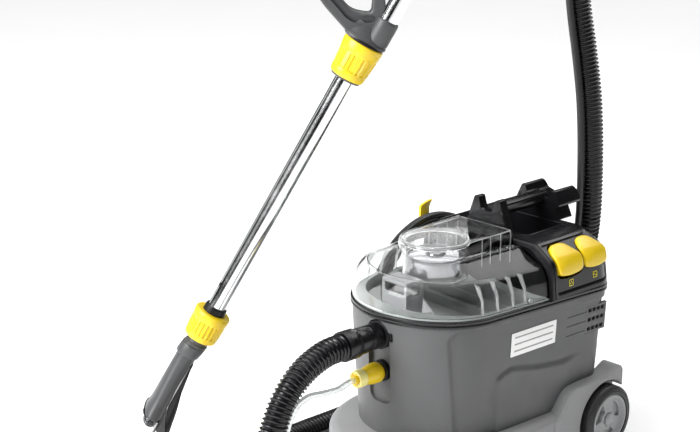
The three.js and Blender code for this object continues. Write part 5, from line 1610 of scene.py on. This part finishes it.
tube = [(13, 291), (14.5, 291), (14.5, 789), (13, 789)]
lower_tube = mesh_object("lower_wand_tube", lathe(tube, "z", (0, 0, 0), 64, closed=True), CHROME, local=WAND)
carved(lower_tube, prism(rounded(rectangle(-22, 366, -9, 372), 2), -9, -3.4), local=WAND)
finished(lower_tube, "wand", "chrome", "lower_tube")
wand_piece("tube_key", prism(rounded(rectangle(-14.9, 367, -10, 371), 1), -8.4, -4.2), SATIN_BLACK,
           "black_satin")
upper = [(13, 821), (14.5, 821), (14.5, 1052), (13, 1052)]
wand_piece("upper_wand_tube", lathe(upper, "z", UPPER_TUBE_AXIS, 64, closed=True), CHROME, "chrome",
           ("upper_tube",))
wand_piece("wand_spray_tube", rod(4, 283, 1036, "z", SPRAY_TUBE_AXIS, 28), CHROME,
           "chrome", ("spray_tube",))
guard = [(14.8, 319), (18, 319), (18, 330.5), (17.2, 332), (14.8, 332.4)]
wand_piece("lower_tube_collar", lathe(guard, "z", (0, 0, 0), 56, closed=True), SATIN_BLACK, "black_satin")


def union_nut(name, start, length, radius, foot, throat, node, body, rib_count, groups):
    """A ribbed union nut: a smooth rim at its top, ribs let into the middle and a collar at the foot."""
    rows = [(-3.4, 0), (-1.6, 0.02), (-0.6, 0.06), (-0.3, 0.16), (-0.6, 0.21)]
    rows += [(-1.7, t) for t in (0.25, 0.36, 0.48, 0.6, 0.66)]
    rows += [(-0.7, 0.70), (0.0, 0.74), (0.1, 0.92), (-0.5, 0.97), (-2.0, 1.0)]
    profile = [(throat, start), (throat, start + 8.6), (24.6, start + 9.8),
               (24.6, start + length * 0.96 - 1.4), (throat + 1.2, start + length * 0.96),
               (throat + 1.2, start + length)][::-1]
    outside = [((foot + (1 - foot) * t) * radius + r, start + t * length) for r, t in rows]
    low, high = start + 0.22 * length, start + 0.69 * length

    def ribbed(angle, reach, along):
        if reach < 24.9 or not low < along < high:
            return reach
        rib = min(1.0, max(0.0, 0.5 + math.cos(angle * rib_count) * 2.2))
        if groups and math.cos(angle * groups) < -0.2:
            rib = 0.12
        return reach + 1.9 * rib - 0.5
    shape = lathe(outside + profile, "z", (0, 0, 0), 288, closed=True, wobble=ribbed)
    wand_piece(name, shape, YELLOW, "yellow", (node,), body, smooth=24)


union_nut("lower_union_nut", 272.4, 48.6, 29.6, 0.93, 17.4, "lower_nut", "lower_union", 24, 0)
union_nut("upper_union_nut", 751, 58, 32.4, 0.86, 24.6, "upper_nut", "upper_union", 18, 6)

# The stirrup: an upright loop drawn as (across, up) from its foot, on a ribbed root over the nut.
LOOP = WAND @ Matrix.Translation((-38, 0, 832)) @ Matrix.Rotation(-TILT, 4, "Y")
LOOP_OUTSIDE = rounded([(-4, -20.5), (-45, 26), (-62, 62), (-68, 100), (-60, 135), (-38, 152), (30, 152),
                        (49, 138), (53, 100), (52, 26), (55, 2), (30, -20)],
                       [6, 40, 30, 30, 24, 24, 24, 24, 30, 30, 10, 6], 8)
LOOP_WINDOW = rounded([(-12, 27), (0, 14), (16, 9), (31, 8), (33, 26), (34, 100), (28, 126), (14, 134),
                       (-26, 134), (-42, 122), (-48, 98), (-40, 64)],
                      [12, 12, 12, 6, 12, 20, 12, 12, 12, 14, 20, 30], 6)
stirrup = mesh_object("stirrup_grip_loop", pillow(LOOP_OUTSIDE, -13, 13, 3.2, bottom_edge=3.2), WAND_GREY,
                      local=LOOP)
WINDOW_CUT = []
for y, grow in ((-16, 3.4), (-13, 3.4), (-12, 1.6), (-10, 0.4), (-8, 0.0), (8, 0.0), (10, 0.4), (12, 1.6),
                (13, 3.4), (16, 3.4)):
    WINDOW_CUT.append([(a, y, b) for a, b in inset_outline(LOOP_WINDOW, -grow)])
carved(stirrup, loft(WINDOW_CUT), local=LOOP)
# a moulded channel down the outer arm and along the foot, on both faces
CHANNEL = rounded([(-25, 24), (-6, 1), (6, -6), (34, -6), (39, 0), (36, 5), (8, 4), (-10, 19), (-38, 50),
                   (-54, 78), (-58, 74), (-46, 46)], [6, 8, 8, 5, 4, 3, 8, 10, 16, 2, 2, 16], 5)
carved(stirrup, prism(CHANNEL, -16, -7), prism(CHANNEL, 7, 16), local=LOOP)
root = mesh_object("stirrup_root", loft(smooth_rings([
    (809.5, -2, 31, 27), (812, -2, 34, 28), (815, -2, 34.4, 27.6), (820, -2.6, 32, 22), (828, -3.6, 28, 16),
    (838, -5, 22, 12)], 8, count=80, power=0.9)), WAND_GREY, 34, WAND)
cut_with(stirrup, root, "UNION")
boss = lathe([(0, 816), (16, 816), (17.8, 820), (17.8, 852), (17.2, 855.4), (16.2, 856.6), (0, 856.6)], "z",
             UPPER_TUBE_AXIS, 64)
core = lathe([(0, 748), (23, 748), (24, 749), (24, 812), (0, 812)], "z", (0, 0, 0), 64)
carved(stirrup, boss, core, operation="UNION", local=WAND)
carved(stirrup, lathe([(0, 700), (14.8, 700), (14.8, 790), (9, 790), (9, 815), (0, 815)], "z", (0, 0, 0),
                      48),
       lathe([(0, 800), (9, 800), (9, 820), (14.8, 820), (14.8, 862), (15.6, 863), (15.6, 1100), (0, 1100)],
             "z", UPPER_TUBE_AXIS, 48),
       rod(4.3, 700, 900, "z", SPRAY_TUBE_AXIS, 20), local=WAND)
soften(stirrup, 34)
finished(stirrup, "wand", "wand_grey", "stirrup_handle")
collar = [(24.4, 809.6), (31, 809.6), (31.6, 810.6), (30.4, 812.8), (28, 814), (24.4, 814)]
wand_piece("stirrup_seal_ring", lathe(collar, "z", (-1, 0, 0), 72, closed=True), SATIN_BLACK, "black_satin")

grip_levels = [(1040, 14, 21, 24), (1044, 14, 24.6, 26), (1052, 14, 25.6, 27), (1062, 14, 24.6, 25),
               (1082, 14, 21.6, 22), (1110, 14, 20.2, 21), (1136, 14, 20.8, 21.6), (1146, 14, 23.6, 24),
               (1150, 14, 24.6, 24.6)]
grip = mesh_object("trigger_grip_body", loft(smooth_rings(grip_levels, 6, count=72, power=0.85)), WAND_GREY,
                   34, WAND)
GUARD = rounded([(24, 1043), (62, 1048), (70, 1060), (66, 1132), (54, 1144), (24, 1145), (24, 1135),
                 (50, 1132), (58, 1124), (60, 1066), (54, 1058), (24, 1054)],
                [2, 12, 12, 14, 12, 2, 2, 8, 8, 8, 8, 2], 5)
carved(grip, prism(GUARD, -9, 9), operation="UNION", local=WAND)
carved(grip, prism([(20, 1062), (45, 1062), (45, 1124), (20, 1124)], -5.5, 5.5),
       lathe([(0, 1030), (14.8, 1030), (14.8, 1053), (11, 1053), (11, 1138), (19.8, 1138), (19.8, 1160),
              (0, 1160)],
             "z", (14, -2.5, 0), 48),
       rod(4.3, 1030, 1046, "z", SPRAY_TUBE_AXIS, 20), local=WAND)
soften(grip, 34)
finished(grip, "wand", "wand_grey", "trigger_grip")
TRIGGER = rounded([(28, 1064), (36, 1063), (48, 1080), (49, 1106), (44, 1120), (41, 1104), (36, 1080)],
                  [3, 3, 8, 8, 2, 8, 6], 5)
wand_piece("trigger_blade", pillow(TRIGGER, -5, 5, 1.0, bottom_edge=1.0), YELLOW, "yellow", ("trigger",),
           "trigger_lever")
end_cuff = [(14, 1138.5), (19, 1138.5), (19, 1150.5), (22.4, 1151.2), (23.5, 1153), (23.5, 1166),
            (23.0, 1166.8), (23.0, 1167.8), (23.5, 1168.6), (23.5, 1188), (22.6, 1190), (21.3, 1190),
            (21.3, 1182), (14, 1180)]
wand_piece("hose_end_cuff", lathe(end_cuff, "z", (14, 0, 0), 72, closed=True), HOSE_BLACK, "black_satin",
           ("hose_cuff",))


# ------------------------------------------------------------------ CAD pieces that keep their shape
CAD_LOOKS = {
    "axle": STEEL, "clean_water_tank": TANK_TINT_AND_SHADE, "intake_filter": TANK_TINT_AND_SHADE,
    "switch_block_suction": SATIN_BLACK, "switch_block_spray": SATIN_BLACK,
    "suction_turbine": MOTOR_BLACK, "turbine_gasket": SEAL_RUBBER, "spray_pump": PUMP_METAL,
}
for node, look in CAD_LOOKS.items():
    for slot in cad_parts[node].material_slots:
        slot.material = look
